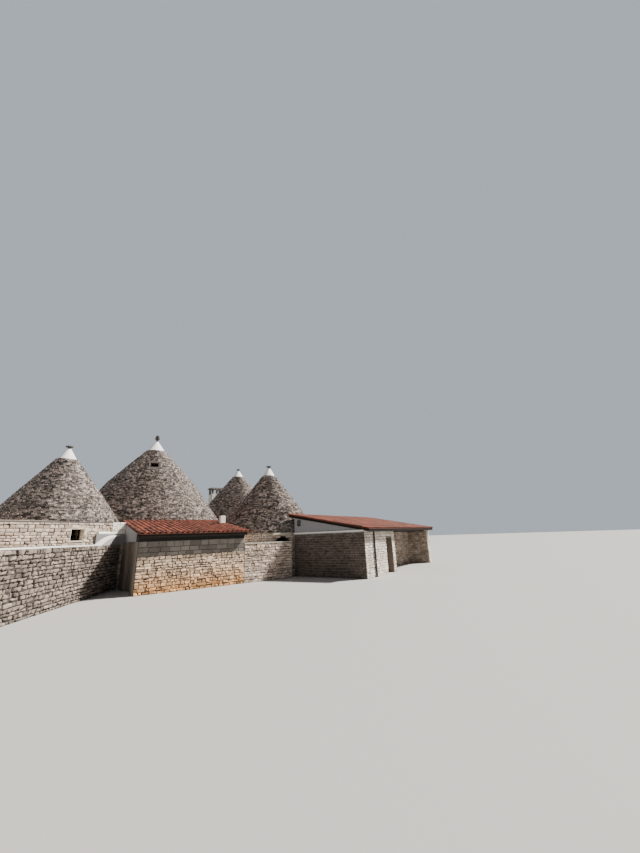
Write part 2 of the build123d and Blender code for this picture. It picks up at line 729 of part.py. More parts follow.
def main():
    nodes = {}
    nodes.update(make_lean_to())
    nodes.update(make_big_trullo())
    nodes.update(
        make_round_trullo(
            "rear_trullo",
            REAR_X,
            REAR_Y,
            REAR_WALL_RADIUS,
            REAR_WALL,
            REAR_WALL_HEIGHT,
            REAR_EAVE_RADIUS,
            REAR_APEX,
            REAR_CAP_RADIUS,
            REAR_SWELL,
            REAR_VAULT,
            REAR_DOOR_FACING,
        )
    )
    nodes.update(
        make_round_trullo(
            "right_trullo",
            RIGHT_X,
            RIGHT_Y,
            RIGHT_WALL_RADIUS,
            RIGHT_WALL,
            RIGHT_WALL_HEIGHT,
            RIGHT_EAVE_RADIUS,
            RIGHT_APEX,
            RIGHT_CAP_RADIUS,
            RIGHT_SWELL,
            RIGHT_VAULT,
            RIGHT_DOOR_FACING,
        )
    )
    nodes.update(make_left_house())
    nodes.update(make_caps())
    nodes.update(make_chimney())
    nodes.update(make_wing())
    nodes.update(make_garden_walls())
    save(nodes)


main()
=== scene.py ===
import json
import math
import random

import bmesh
import bpy
from bpy.props import FloatProperty, FloatVectorProperty, IntProperty, PointerProperty
from mathutils import Matrix, Vector


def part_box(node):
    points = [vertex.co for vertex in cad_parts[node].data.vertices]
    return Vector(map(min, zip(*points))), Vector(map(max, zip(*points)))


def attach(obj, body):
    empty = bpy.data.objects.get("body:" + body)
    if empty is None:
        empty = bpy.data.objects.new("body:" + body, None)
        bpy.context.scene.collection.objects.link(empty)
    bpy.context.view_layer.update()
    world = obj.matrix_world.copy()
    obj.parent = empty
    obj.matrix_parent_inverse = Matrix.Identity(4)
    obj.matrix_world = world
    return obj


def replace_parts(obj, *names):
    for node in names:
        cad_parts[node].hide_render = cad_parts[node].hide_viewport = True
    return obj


bl_info = {
    "name": "Trullo House",
    "version": (1, 0, 0),
    "blender": (4, 5, 0),
    "location": "3D View > Sidebar > Trullo",
    "description": "Dresses a stone trullo house with its courses, rubble, clay tiles and limewash",
    "category": "Object",
}

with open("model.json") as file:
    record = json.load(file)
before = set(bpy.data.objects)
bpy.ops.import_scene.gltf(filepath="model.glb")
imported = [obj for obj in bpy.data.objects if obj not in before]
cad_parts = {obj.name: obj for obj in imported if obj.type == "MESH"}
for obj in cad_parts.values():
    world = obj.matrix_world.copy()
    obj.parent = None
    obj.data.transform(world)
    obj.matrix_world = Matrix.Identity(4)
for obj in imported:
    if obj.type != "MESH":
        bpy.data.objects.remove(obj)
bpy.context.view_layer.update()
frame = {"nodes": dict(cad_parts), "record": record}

# Heights and places that the stones keep to, in metres
PLASTER_LINE = 1.84
# BLOCK_LINE is also the foot of the painted eave shadow on the lean-to's front
BLOCK_LINE = 1.30
DOOR_HALF = 0.43
DOOR_HEIGHT = 1.85

# The left house's block: its middle, its turn, its reach, and the cones that stand on it or beside it
HOUSE_MIDDLE = Vector((-4.607, 4.272, 0.0))
HOUSE_TURN = math.radians(24)
HOUSE_LEFT, HOUSE_RIGHT = -3.18, 2.54
HOUSE_FRONT_END, HOUSE_BACK_END = 1.63, 1.80
HOUSE_HALF_DEPTH = 2.417
HOUSE_WALL_TOP = 2.56
HOUSE_SHOULDER_TOP = 2.68
HOUSE_SHOULDER_OUT = 0.025
CONE_FOOT = 2.364
BIG_EAVE = 4.70

# Both ends along a wall, then foot and head: the window and the plastered corner beside the lean-to
WINDOW = (-0.553, -0.083, 1.948, 2.418)
CORNER = (0.37, 1.60, 1.70, 2.20)

# The vent on the wing's gable: both edges back from the eave, foot and head
GABLE_VENT = (3.77, 3.96, 2.30, 2.58)
VENT_RIM = 0.03
VENT_SLATS = 5

# The wing: the corner of its roof, its turn and its walls
WING_CORNER = Vector((6.13, -3.96, 0.0))
WING_TURN = math.radians(18)
WING_EAVE = 2.01
WING_SLOPE = 0.19
WING_LENGTH = 8.9
WING_DEPTH = 4.5
WING_LEFT, WING_RIGHT = 0.08, 8.82
WING_FRONT, WING_BACK = 0.30, 4.15
WING_ROOM_END = 3.25
WING_PORCH_BACK = 1.5
WING_DOOR = (2.25, 2.95)
WING_DOOR_HEIGHT = 1.60
WING_WALL = 0.45
WING_GABLE_RUBBLE_TOP = 1.90
RAFTER = 0.10

# The lean-to: its tiled roof, its half width, its front face and its side boards
LEAN_EAVE = 2.08
LEAN_SLOPE = 0.163
LEAN_ROOF_FRONT, LEAN_ROOF_BACK = -0.52, 3.71
LEAN_ROOF_LEFT, LEAN_ROOF_RIGHT = -2.185, 2.33
LEAN_HALF = 2.125
LEAN_FACE = -0.225
LEAN_SIDE_TOP = 2.6
SCREEN_BOARDS = 10
SIDE_BOARD = 0.145
BOARD_GAP = 0.008

# The garden wall: where it meets the lean-to, its turn and its top
YARD_START = Vector((-2.35, 2.50, 0.0))
YARD_TURN = math.radians(60)
YARD_LENGTH = 7.0
YARD_DEPTH = 0.25
YARD_FRONT_END, YARD_BACK_END = 0.19, -0.16
YARD_TOP = 1.755

# Each cone: node, radius under the cap, swell of its middle outwards and upwards
CONES = (
    ("big_trullo_cone", 0.50, 0.110),
    ("rear_trullo_cone", 0.38, 0.042),
    ("right_trullo_cone", 0.34, 0.010),
    ("left_house_cone", 0.37, 0.010),
)
EAVE_LIP = 0.08
VENT_CLEAR = 0.31

# Each drum: name, top of its rubble, its stone, and the facing, half width and height of each opening.
# The big drum's second opening is where the lean-to stands against it.
DRUMS = (
    ("big", 2.85, "house_rubble", ((90, DOOR_HALF, DOOR_HEIGHT), (-90, 2.05, 4.0))),
    ("rear", 2.85, "house_rubble", ((0, DOOR_HALF, DOOR_HEIGHT),)),
    ("right", 2.06, "bright_stone", ((-103, DOOR_HALF, DOOR_HEIGHT),)),
)

# How each kind of stone is cut and laid, for add_wall and add_course, where it differs from wall rubble
SLAB_CUT = {"joint": 0.009, "proud": (0.004, 0.034), "skew": 0.007, "darker": 1.5}
FLAG_CUT = {"sizes": (0.25, 0.55), "joint": 0.014, "proud": (0.012, 0.022), "skew": 0.006, "chamfer": 0.010}
FLAG_COURSE = 0.30
LEAN_CUT = {"proud": (0.006, 0.045), "skew": 0.018, "joint": 0.026}
BLOCK_CUT = {
    "course": 0.18, "sizes": (0.26, 0.48), "proud": (0.010, 0.018), "chamfer": 0.008, "skew": 0.005,
    "doubled": 0.0,
}
SHOULDER_CUT = {"course": 0.06, "sizes": (0.12, 0.34), "proud": (0.002, 0.02), "chamfer": 0.006, "skew": 0.006}
CORNER_CUT = {"course": 0.085, "sizes": (0.10, 0.26), "proud": (0.02, 0.05), "chamfer": 0.014, "skew": 0.012}
CHIMNEY_CUT = {
    "course": 0.17, "sizes": (0.16, 0.34), "proud": (0.004, 0.018), "chamfer": 0.010, "skew": 0.008,
    "doubled": 0.0,
}
WING_CUT = {"proud": (0.003, 0.018), "chamfer": 0.012, "skew": 0.013}
YARD_CUT = {
    "course": 0.105, "sizes": (0.09, 0.26), "proud": (0.004, 0.045), "skew": 0.022, "doubled": 0.1,
    "chamfer": 0.017, "joint": 0.038,
}
FORECOURT_CUT = {"sizes": (0.10, 0.30)}

# How far stones stop below the top of what they cover
TOP_CLEAR = 0.01
# SHOULDER_CLEAR also leaves the dark shoulder slab showing as a painted shadow line under the left cone's eave
SHOULDER_CLEAR = 0.045

# How far a stone reaches into its wall, the least it may measure, and the height from which it may be doubled
STONE_SINK = 0.03
LEAST_STONE = 0.02
DOUBLED_FROM = 0.09

# The relief in the stone's finish, and the warm tint at the lean-to's foot with the heights it fades between
STONE_RELIEF, SLAB_RELIEF = 0.006, 0.010
FOOT_TINT = (1.0, 0.72, 0.42, 1.0)
FOOT_FADE = (0.1, 0.9)

# The sun's turn from +Y towards +X, its height and its width, and the colours of the stage
SUN_AZIMUTH, SUN_HEIGHT, SUN_WIDTH = math.radians(110), math.radians(47), math.radians(5)
SUN_COLOUR = (1.0, 0.965, 0.90)
FLOOR_COLOUR = (0.40, 0.388, 0.37, 1.0)
SKY_COLOUR = (0.86, 0.90, 0.96, 1.0)
BACKDROP_COLOUR = (0.47, 0.52, 0.58, 1.0)

# Each timber's darkest and palest grain, both kept near black as painted shade on the eaves, trim and side
# boards
TIMBERS = {
    "eave_timber_painted_shade": ((0.005, 0.004, 0.0035, 1.0), (0.022, 0.016, 0.012, 1.0)),
    # Painted shade: the side boards are near black to stand in for the deep shade on the lean-to's left side
    "old_boards": ((0.002, 0.002, 0.0025, 1.0), (0.020, 0.018, 0.020, 1.0)),
}


# Values that a user can change, kept on the scene

def metres(name, description, default, least):
    return FloatProperty(name=name, description=description, default=default, min=least, unit="LENGTH")


def paint(name, description, default):
    return FloatVectorProperty(
        name=name, description=description, subtype="COLOR", size=3, min=0, max=1, default=default
    )


class TRULLO_PG_stones(bpy.types.PropertyGroup):
    """Sizes of the stones in the cones and walls."""

    cone_course: metres("Cone course", "Height of one course of roofing slabs", 0.056, 0.03)
    cone_shortest: metres("Shortest slab", "Shortest roofing slab", 0.06, 0.05)
    cone_longest: metres("Longest slab", "Longest roofing slab", 0.155, 0.06)
    wall_course: metres("Rubble course", "Height of one course of wall rubble", 0.105, 0.05)
    wall_shortest: metres("Shortest rubble", "Shortest stone in a wall", 0.10, 0.05)
    wall_longest: metres("Longest rubble", "Longest stone in a wall", 0.27, 0.06)
    joint: metres("Joint", "Width of the joints between stones", 0.020, 0.0)
    seed: IntProperty(name="Seed", description="Start of the chance sizes", default=7, min=0)


class TRULLO_PG_tiles(bpy.types.PropertyGroup):
    """Sizes of the clay barrel tiles."""

    pitch: metres("Column pitch", "Distance between columns of cover tiles", 0.206, 0.1)
    exposure: metres("Exposure", "Length of a tile that shows", 0.36, 0.1)
    lap: metres("Lap", "Length of a tile under the next one", 0.07, 0.0)
    wall: metres("Tile wall", "Thickness of the fired clay", 0.012, 0.004)
    board: metres("Boarding", "Thickness of the boards under the tiles", 0.025, 0.01)


class TRULLO_PG_colours(bpy.types.PropertyGroup):
    """Main colours of the finishes."""

    cone: paint("Roofing slabs", "Colour of the cones' stone", (0.205, 0.172, 0.157))
    rubble: paint("House rubble", "Colour of the limewashed rubble", (0.56, 0.45, 0.37))
    dry_wall: paint("Dry wall", "Colour of the dry-laid stone", (0.235, 0.188, 0.158))
    lime: paint("Limewash", "Colour of the limewashed plaster", (0.93, 0.91, 0.89))
    tile: paint("Lean-to tiles", "Colour of the lean-to's tiles", (0.160, 0.040, 0.022))
    wing_tile: paint("Wing tiles", "Colour of the wing's tiles", (0.140, 0.036, 0.020))


class TRULLO_PG_stage(bpy.types.PropertyGroup):
    """The floor, the lights and the camera."""

    eye: FloatVectorProperty(
        name="Eye", description="Place of the camera", subtype="XYZ", unit="LENGTH",
        size=3, default=(-5.01, -15.02, 1.80),
    )
    heading: FloatProperty(
        name="Heading", description="Turn of the camera from +Y towards +X", subtype="ANGLE",
        default=math.radians(38.1),
    )
    pitch: FloatProperty(
        name="Pitch", description="Tilt of the camera above level", subtype="ANGLE", default=math.radians(17.5)
    )
    roll: FloatProperty(
        name="Roll", description="Turn of the camera about its own line", subtype="ANGLE",
        default=math.radians(-2.2),
    )
    lens: FloatProperty(name="Lens", description="Focal length in millimetres", default=14.64, min=5.0)
    floor: metres("Floor", "Half the side of the floor", 150.0, 10.0)
    key: FloatProperty(name="Key light", description="Strength of the key light", default=11.0, min=0.0)
    fill: FloatProperty(name="Fill", description="Strength of the light all round", default=0.30, min=0.0)


class TRULLO_PG_settings(bpy.types.PropertyGroup):
    """All the groups of values."""

    stones: PointerProperty(type=TRULLO_PG_stones)
    tiles: PointerProperty(type=TRULLO_PG_tiles)
    colours: PointerProperty(type=TRULLO_PG_colours)
    stage: PointerProperty(type=TRULLO_PG_stage)


def settings():
    return bpy.context.scene.trullo


# Nodes

def fill_sockets(tree, node, values):
    """Set a node's sockets to constants, or link them to other sockets."""
    for key, value in values.items():
        if isinstance(value, (int, float, tuple)):
            node.inputs[key].default_value = value
        else:
            tree.links.new(value, node.inputs[key])


def noise(tree, vector, scale, detail=4.0, roughness=0.6):
    node = tree.nodes.new("ShaderNodeTexNoise")
    fill_sockets(tree, node, {"Vector": vector, "Scale": scale, "Detail": detail, "Roughness": roughness})
    return node.outputs["Fac"]


def reach(tree, value, low, high, out_low=0.0, out_high=1.0):
    """Map a value's range onto another one."""
    node = tree.nodes.new("ShaderNodeMapRange")
    fill_sockets(tree, node, {
        "Value": value, "From Min": low, "From Max": high, "To Min": out_low, "To Max": out_high,
    })
    return node.outputs["Result"]


def math_node(tree, operation, a, b):
    node = tree.nodes.new("ShaderNodeMath")
    node.operation = operation
    fill_sockets(tree, node, {0: a, 1: b})
    return node.outputs[0]


def mix_colour(tree, factor, a, b, blend="MIX"):
    """Mix two colours. Sockets 0, 6 and 7 are the factor and the colours, and output 2 is the colour."""
    node = tree.nodes.new("ShaderNodeMix")
    node.data_type = "RGBA"
    node.blend_type = blend
    fill_sockets(tree, node, {0: factor, 6: a, 7: b})
    return node.outputs[2]


def stretched(tree, vector, scale):
    node = tree.nodes.new("ShaderNodeMapping")
    fill_sockets(tree, node, {"Vector": vector, "Scale": scale})
    return node.outputs["Vector"]


def bump(tree, height, strength, distance):
    node = tree.nodes.new("ShaderNodeBump")
    fill_sockets(tree, node, {"Height": height, "Strength": strength, "Distance": distance})
    return node.outputs["Normal"]


def height_of(tree, place):
    node = tree.nodes.new("ShaderNodeSeparateXYZ")
    fill_sockets(tree, node, {"Vector": place})
    return node.outputs["Z"]


def tone_of(tree):
    """The tone of a single stone or tile, from its mesh."""
    node = tree.nodes.new("ShaderNodeAttribute")
    node.attribute_name = "tone"
    return node.outputs["Fac"]


# Node groups

def new_group(name, inputs):
    """An empty shader node group with a vector and named inputs, and a colour, a height and a roughness out."""
    group = bpy.data.node_groups.new(name, "ShaderNodeTree")
    group.interface.new_socket("Vector", in_out="INPUT", socket_type="NodeSocketVector")
    for label, value in inputs.items():
        kind = "NodeSocketColor" if isinstance(value, tuple) else "NodeSocketFloat"
        group.interface.new_socket(label, in_out="INPUT", socket_type=kind).default_value = value
    for label, kind in (
        ("Color", "NodeSocketColor"), ("Height", "NodeSocketFloat"), ("Rough", "NodeSocketFloat"),
    ):
        group.interface.new_socket(label, in_out="OUTPUT", socket_type=kind)
    return group, group.nodes.new("NodeGroupInput").outputs, group.nodes.new("NodeGroupOutput")


def stone_mottle_group():
    """Patches, specks and pits of weathered limestone, with a tone for each stone."""
    group, source, sink = new_group("stone_mottle", {
        "Tone": 0.5, "Dark": (0.1, 0.1, 0.1, 1), "Pale": (0.6, 0.6, 0.6, 1), "Stain": (0.2, 0.18, 0.1, 1),
        "Stain Amount": 0.4,
    })
    broad = noise(group, source["Vector"], 1.6)
    fine = noise(group, source["Vector"], 26.0, 6.0, 0.7)
    specks = noise(group, source["Vector"], 90.0, 3.0, 0.6)
    tone = math_node(group, "ADD", source["Tone"], reach(group, fine, 0.3, 0.7, -0.28, 0.28))
    colour = mix_colour(group, tone, source["Dark"], source["Pale"])
    patch = math_node(group, "MULTIPLY", reach(group, broad, 0.48, 0.66), source["Stain Amount"])
    colour = mix_colour(group, patch, colour, source["Stain"])
    dots = math_node(group, "MULTIPLY", reach(group, specks, 0.60, 0.70), 0.35)
    fill_sockets(group, sink, {
        "Color": mix_colour(group, dots, colour, source["Dark"]),
        "Height": math_node(group, "ADD", fine, math_node(group, "MULTIPLY", specks, 0.3)),
        "Rough": reach(group, fine, 0.3, 0.7, 0.82, 0.97),
    })
    return group


def limewash_group():
    """Brushed limewash with grey weathering and faint hairline stains."""
    group, source, sink = new_group("limewash", {
        "Lime": (0.8, 0.8, 0.8, 1), "Grime": (0.4, 0.38, 0.33, 1), "Grime Amount": 0.4,
    })
    runs = noise(group, stretched(group, source["Vector"], (7.0, 7.0, 0.9)), 1.0, 5.0, 0.65)
    broad = noise(group, source["Vector"], 2.2, 5.0, 0.6)
    fine = noise(group, source["Vector"], 45.0, 5.0, 0.65)
    dirt = math_node(group, "MULTIPLY", reach(group, runs, 0.50, 0.72), reach(group, broad, 0.40, 0.66))
    dirt = math_node(group, "MULTIPLY", dirt, source["Grime Amount"])
    colour = mix_colour(group, dirt, source["Lime"], source["Grime"])
    soft = reach(group, fine, 0.35, 0.65, 0.0, 0.12)
    fill_sockets(group, sink, {
        "Color": mix_colour(group, soft, colour, source["Grime"]),
        "Height": math_node(group, "ADD", math_node(group, "MULTIPLY", fine, 0.4), broad),
        "Rough": reach(group, broad, 0.3, 0.7, 0.75, 0.93),
    })
    return group


def timber_grain_group():
    """Grain of old timber, drawn out along one axis."""
    group, source, sink = new_group("timber_grain", {"Dark": (0.03, 0.02, 0.02, 1), "Pale": (0.2, 0.15, 0.1, 1)})
    grain = noise(group, stretched(group, source["Vector"], (30.0, 30.0, 2.0)), 1.0, 6.0, 0.7)
    broad = noise(group, source["Vector"], 3.0)
    tone = math_node(group, "ADD", reach(group, grain, 0.35, 0.65), reach(group, broad, 0.3, 0.7, -0.25, 0.25))
    fill_sockets(group, sink, {
        "Color": mix_colour(group, tone, source["Dark"], source["Pale"]),
        "Height": grain,
        "Rough": reach(group, grain, 0.3, 0.7, 0.65, 0.85),
    })
    return group


GROUPS = {"stone_mottle": stone_mottle_group, "limewash": limewash_group, "timber_grain": timber_grain_group}


# Finishes

def shade(colour, factor):
    """A colour made darker or paler, with alpha for a socket."""
    return tuple(min(1.0, channel * factor) for channel in colour[:3]) + (1.0,)


def tint(colour, factors):
    """A colour times one factor, or times one for each channel."""
    if isinstance(factors, float):
        factors = (factors,) * 3
    return tuple(channel * factor for channel, factor in zip(colour, factors))


def stone_looks():
    """Stone's colour, darkest and palest factor, stain and its amount: laid stones, then the solids' own."""
    colours = settings().colours
    cone, rubble, dry, lime = colours.cone, colours.rubble, colours.dry_wall, colours.lime
    laid = {
        "cone_slabs": (cone, 0.14, 2.7, (0.17, 0.14, 0.09), 0.26),
        "house_rubble": (rubble, 0.45, 1.6, (0.38, 0.25, 0.15), 0.40),
        "lean_to_stone": (tint(rubble, (1.08, 1.03, 0.94)), 0.42, 1.55, (0.40, 0.26, 0.15), 0.35),
        # Painted shade: the blocks are darkened to stand in for the eave's shadow, which falls down to
        # BLOCK_LINE
        "block_stone_painted_shade": (tint(rubble, (0.36, 0.40, 0.43)), 0.5, 1.5, (0.09, 0.08, 0.07), 0.4),
        "bright_stone": (tint(lime, (1.0, 0.95, 0.88)), 0.7, 1.07, (0.40, 0.31, 0.22), 0.25),
        "washed_stone": (tint(lime, (1.0, 0.93, 0.84)), 0.5, 1.05, (0.34, 0.25, 0.17), 0.35),
        "flagstone": (tint(rubble, 0.62), 0.55, 1.45, (0.16, 0.13, 0.10), 0.5),
        "chimney_stone": (tint(lime, 0.8), 0.7, 1.1, (0.30, 0.25, 0.19), 0.4),
        "wing_stone": (tint(rubble, 0.75), 0.35, 1.6, (0.20, 0.14, 0.10), 0.5),
        # Painted shade: the wing gable's rubble is darkened to stand in for the shade on that side
        "wing_gable_stone_painted_shade": (tint(rubble, 0.14), 0.40, 1.7, (0.05, 0.036, 0.028), 0.5),
        "dry_rubble": (dry, 0.16, 1.65, (0.12, 0.10, 0.08), 0.4),
        "forecourt_stone": (rubble, 0.42, 1.6, (0.30, 0.21, 0.14), 0.45),
        "whitewashed_rubble": (tint(lime, (1.04, 1.0, 0.94)), 0.72, 1.05, (0.55, 0.47, 0.38), 0.35),
    }
    solid = {
        "wall_mortar": (tint(rubble, 0.6), 0.40, 0.9, (0.16, 0.11, 0.07), 0.4),
        "dry_joints": (dry, 0.15, 0.4, (0.06, 0.05, 0.04), 0.3),
        "cone_core": (cone, 0.25, 0.7, (0.10, 0.09, 0.07), 0.3),
        "vent_stone": (cone, 0.6, 1.6, (0.16, 0.125, 0.10), 0.4),
        "cut_limestone": ((0.50, 0.46, 0.39), 0.7, 1.2, (0.22, 0.19, 0.14), 0.4),
        # Painted shade: the finials are near black to stand in for their shaded knobs
        "finial_painted_shade": ((0.075, 0.072, 0.068), 0.6, 1.2, (0.08, 0.08, 0.06), 0.4),
        "hood_stone": ((0.17, 0.155, 0.14), 0.5, 1.6, (0.06, 0.055, 0.05), 0.5),
    }
    return laid, solid


def lime_looks():
    """Each plaster's colour, grime and amount of grime."""
    lime = settings().colours.lime
    return {
        "lime_plaster": (lime, (0.42, 0.40, 0.34), 0.45),
        "cap_plaster": (tint(lime, 1.06), (0.5, 0.48, 0.43), 0.3),
        # Painted shadow: the corner panel's lime is darkened to stand in for the lean-to's shadow on it
        "corner_plaster_painted_shade": (tint(lime, 0.30), (0.12, 0.115, 0.11), 0.5),
        "window_lime": (tint(lime, (0.82, 0.74, 0.62)), (0.40, 0.32, 0.22), 0.5),
        # Painted shade: the lean-to's gable plaster is darkened and blued to stand in for the shade on that side
        "gable_plaster_painted_shade": (tint(lime, (0.34, 0.35, 0.38)), (0.16, 0.15, 0.14), 0.5),
    }


def new_material(name):
    """A material with its tree, its shader and Object coordinates."""
    material = bpy.data.materials.new(name)
    material.use_nodes = True
    tree = material.node_tree
    shader = tree.nodes["Principled BSDF"]
    place = tree.nodes.new("ShaderNodeTexCoord").outputs["Object"]
    return material, tree, shader, place


def use_group(tree, name, values, vector):
    """Place a node group in a material. It is built at its first use."""
    node = tree.nodes.new("ShaderNodeGroup")
    node.node_tree = bpy.data.node_groups.get(name) or GROUPS[name]()
    fill_sockets(tree, node, values | {"Vector": vector})
    return node


def join_surface(tree, shader, node, strength, distance):
    fill_sockets(tree, shader, {
        "Base Color": node.outputs["Color"],
        "Roughness": node.outputs["Rough"],
        "Normal": bump(tree, node.outputs["Height"], strength, distance),
    })


def once(make):
    """Let a finish be made only at the first use of its name."""
    def finish(name, *values):
        return bpy.data.materials.get(name) or make(name, *values)
    return finish


@once
def stone_finish(name):
    """Weathered limestone in one colour family, by its look's name."""
    laid, solid = stone_looks()
    colour, dark, pale, stain, amount = (laid | solid)[name]
    material, tree, shader, place = new_material(name)
    values = {
        "Dark": shade(colour, dark), "Pale": shade(colour, pale), "Stain": shade(stain, 1.0),
        "Stain Amount": amount,
    }
    if name in laid:
        values["Tone"] = tone_of(tree)
    node = use_group(tree, "stone_mottle", values, place)
    join_surface(tree, shader, node, 0.8, SLAB_RELIEF if name == "cone_slabs" else STONE_RELIEF)
    if name == "lean_to_stone":
        near = reach(tree, height_of(tree, place), *FOOT_FADE, 1.0, 0.0)
        tinted = mix_colour(tree, near, node.outputs["Color"], FOOT_TINT, "MULTIPLY")
        tree.links.new(tinted, shader.inputs["Base Color"])
    return material


@once
def lime_finish(name):
    """Limewashed plaster, by its look's name."""
    colour, grime, amount = lime_looks()[name]
    material, tree, shader, place = new_material(name)
    values = {"Lime": shade(colour, 1.0), "Grime": shade(grime, 1.0), "Grime Amount": amount}
    join_surface(tree, shader, use_group(tree, "limewash", values, place), 0.5, 0.004)
    return material


@once
def timber_finish(name):
    """Old timber, by its name."""
    dark, pale = TIMBERS[name]
    material, tree, shader, place = new_material(name)
    join_surface(tree, shader, use_group(tree, "timber_grain", {"Dark": dark, "Pale": pale}, place), 0.6, 0.003)
    shader.inputs["Specular IOR Level"].default_value = 0.15
    return material


@once
def clay_finish(name, colour):
    """Fired clay whose tone differs from tile to tile, with soot and pale bloom."""
    material, tree, shader, place = new_material(name)
    values = {
        "Tone": tone_of(tree), "Dark": shade(colour, 0.30), "Pale": shade(colour, 1.95),
        "Stain": (0.10, 0.055, 0.035, 1.0), "Stain Amount": 0.35,
    }
    join_surface(tree, shader, use_group(tree, "stone_mottle", values, place), 0.5, 0.003)
    return material


def two_part_finish(name, colour, line, upper, grime):
    """Mortar up to a line and a plain coat above it. At each of its uses the coat is darkened as painted shade.
    """
    material, tree, shader, place = new_material(name)
    rough = use_group(tree, "stone_mottle", {
        "Dark": shade(colour, 0.45), "Pale": shade(colour, 0.9), "Stain": shade(colour, 0.35),
        "Stain Amount": 0.3,
    }, place)
    smooth = use_group(tree, "limewash", {
        "Lime": shade(upper, 1.0), "Grime": shade(upper, grime), "Grime Amount": 0.5,
    }, place)
    above = reach(tree, height_of(tree, place), line - 0.01, line + 0.01)
    join_surface(tree, shader, rough, 0.5, 0.004)
    both = mix_colour(tree, above, rough.outputs["Color"], smooth.outputs["Color"])
    tree.links.new(both, shader.inputs["Base Color"])
    return material


def pipe_finish():
    """Dark paint with rust under it."""
    material, tree, shader, place = new_material("pipe_paint")
    worn = noise(tree, place, 12.0)
    rust = reach(tree, worn, 0.45, 0.75)
    fill_sockets(tree, shader, {
        "Base Color": mix_colour(tree, rust, (0.018, 0.018, 0.02, 1.0), (0.07, 0.05, 0.04, 1.0)),
        "Roughness": reach(tree, worn, 0.3, 0.7, 0.35, 0.6),
        "Normal": bump(tree, worn, 0.3, 0.001),
    })
    return material


# Faces, and what is free of them. Along a face stand a, out from it o and up it z.

def flat_face(start, end):
    """A flat face from start to end, seen from outside with the start on the right."""
    along = (end - start).normalized()
    out = Vector((-along.y, along.x, 0.0))
    return (end - start).length, lambda a, o, z: start + along * a + out * o + Vector((0, 0, z))


def round_face(centre, radius, first=0.0):
    """A round face that is walked clockwise from an angle."""
    def place(a, o, z):
        angle = first - a / radius
        return Vector((
            centre.x + (radius + o) * math.cos(angle), centre.y + (radius + o) * math.sin(angle), z
        ))
    return 2 * math.pi * radius, place


def plan_point(origin, turn, u, v):
    """A point of a plan that is turned about its origin."""
    return origin + Vector((
        u * math.cos(turn) - v * math.sin(turn), u * math.sin(turn) + v * math.cos(turn), 0
    ))


def in_house(u, v):
    return plan_point(HOUSE_MIDDLE, HOUSE_TURN, u, v)


def in_wing(u, v):
    return plan_point(WING_CORNER, WING_TURN, u, v)


def in_yard(u, v):
    return plan_point(YARD_START, YARD_TURN, u, v)


def box_corners(low, high):
    """The corners of a box's plan, walked clockwise from its right front."""
    return [Vector((x, y, 0)) for x, y in ((high.x, low.y), (low.x, low.y), (low.x, high.y), (high.x, high.y))]


def free_spans(length, low, high, holes):
    """What holes leave free of a course. A hole is its start, end, foot and head."""
    overlap, shortest = 0.02, 0.05
    spans = [(0.0, length)]
    for start, end, foot, head in holes:
        if high <= foot + overlap or low >= head - overlap:
            continue
        cut = []
        for a, b in spans:
            if start > a:
                cut.append((a, min(b, start)))
            if end < b:
                cut.append((max(a, end), b))
        spans = [(a, b) for a, b in cut if b - a > shortest]
    return spans


def open_spans(length, steps, shortest, is_open):
    """The stretches of a course that are open at each of many steps."""
    spans = []
    start = None
    for index in range(steps + 1):
        at = length * index / steps
        free = is_open(at)
        if free and start is None:
            start = at
        if start is not None and (not free or index == steps):
            if at - start > shortest:
                spans.append((start, at))
            start = None
    return spans


def clip_to_top(span, high, top):
    """The part of a span where the wall is at least as high as the course."""
    a, b = span
    steps = 60
    inside = [a + (b - a) * i / steps for i in range(steps + 1) if top(a + (b - a) * i / steps) >= high - 0.002]
    if len(inside) < 2:
        return None
    return min(inside), max(inside)


def course_lines(low, high, height, rng):
    """Heights of the bed joints of uneven courses."""
    lines = [low]
    while high - lines[-1] > 1.5 * height:
        lines.append(lines[-1] + height * rng.uniform(0.78, 1.22))
    lines.append(high)
    return lines


# Meshes

def add_box(bm, middle, size):
    """A box about its middle. Gives its vertices."""
    matrix = Matrix.LocRotScale(Vector(middle), None, Vector(size))
    return bmesh.ops.create_cube(bm, size=1.0, matrix=matrix)["verts"]


def ease(bm, edges, offset, segments):
    bmesh.ops.bevel(bm, geom=edges, offset=offset, affect="EDGES", segments=segments, profile=0.5, material=-1)


def in_order(items):
    """Items without repeats, in the order in which they come."""
    return list(dict.fromkeys(items))


def pour(own, bm):
    """Add one bmesh to another and free it."""
    mesh = bpy.data.meshes.new("own")
    own.to_mesh(mesh)
    own.free()
    bm.from_mesh(mesh)
    bpy.data.meshes.remove(mesh)


def add_block(bm, place, u, v, z, edge=0.008, lift=0.0):
    """A block between two values on each axis of a plan, with eased edges. lift raises its back top edge."""
    own = bmesh.new()
    middle = Vector((sum(u) / 2, sum(v) / 2, sum(z) / 2))
    add_box(own, middle, (u[1] - u[0], v[1] - v[0], z[1] - z[0]))
    for vert in own.verts:
        if vert.co.z > middle.z and vert.co.y > middle.y:
            vert.co.z += lift
    ease(own, own.edges[:], edge, 2)
    for vert in own.verts:
        vert.co = place(vert.co.x, vert.co.y) + Vector((0, 0, vert.co.z))
    pour(own, bm)


def add_plank(bm, middle, size):
    """A board with eased edges."""
    verts = add_box(bm, middle, size)
    ease(bm, in_order(edge for vert in verts for edge in vert.link_edges), 0.003, 1)


def put(name, data):
    """A new object in the scene."""
    item = bpy.data.objects.new(name, data)
    bpy.context.scene.collection.objects.link(item)
    return item


def finish_piece(bm, name, material):
    """Turn a bmesh into a named piece that rides on the house."""
    bmesh.ops.recalc_face_normals(bm, faces=bm.faces)
    mesh = bpy.data.meshes.new(name)
    bm.to_mesh(mesh)
    bm.free()
    mesh.materials.append(material)
    piece = put(name, mesh)
    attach(piece, "root")
    return piece


# Masonry

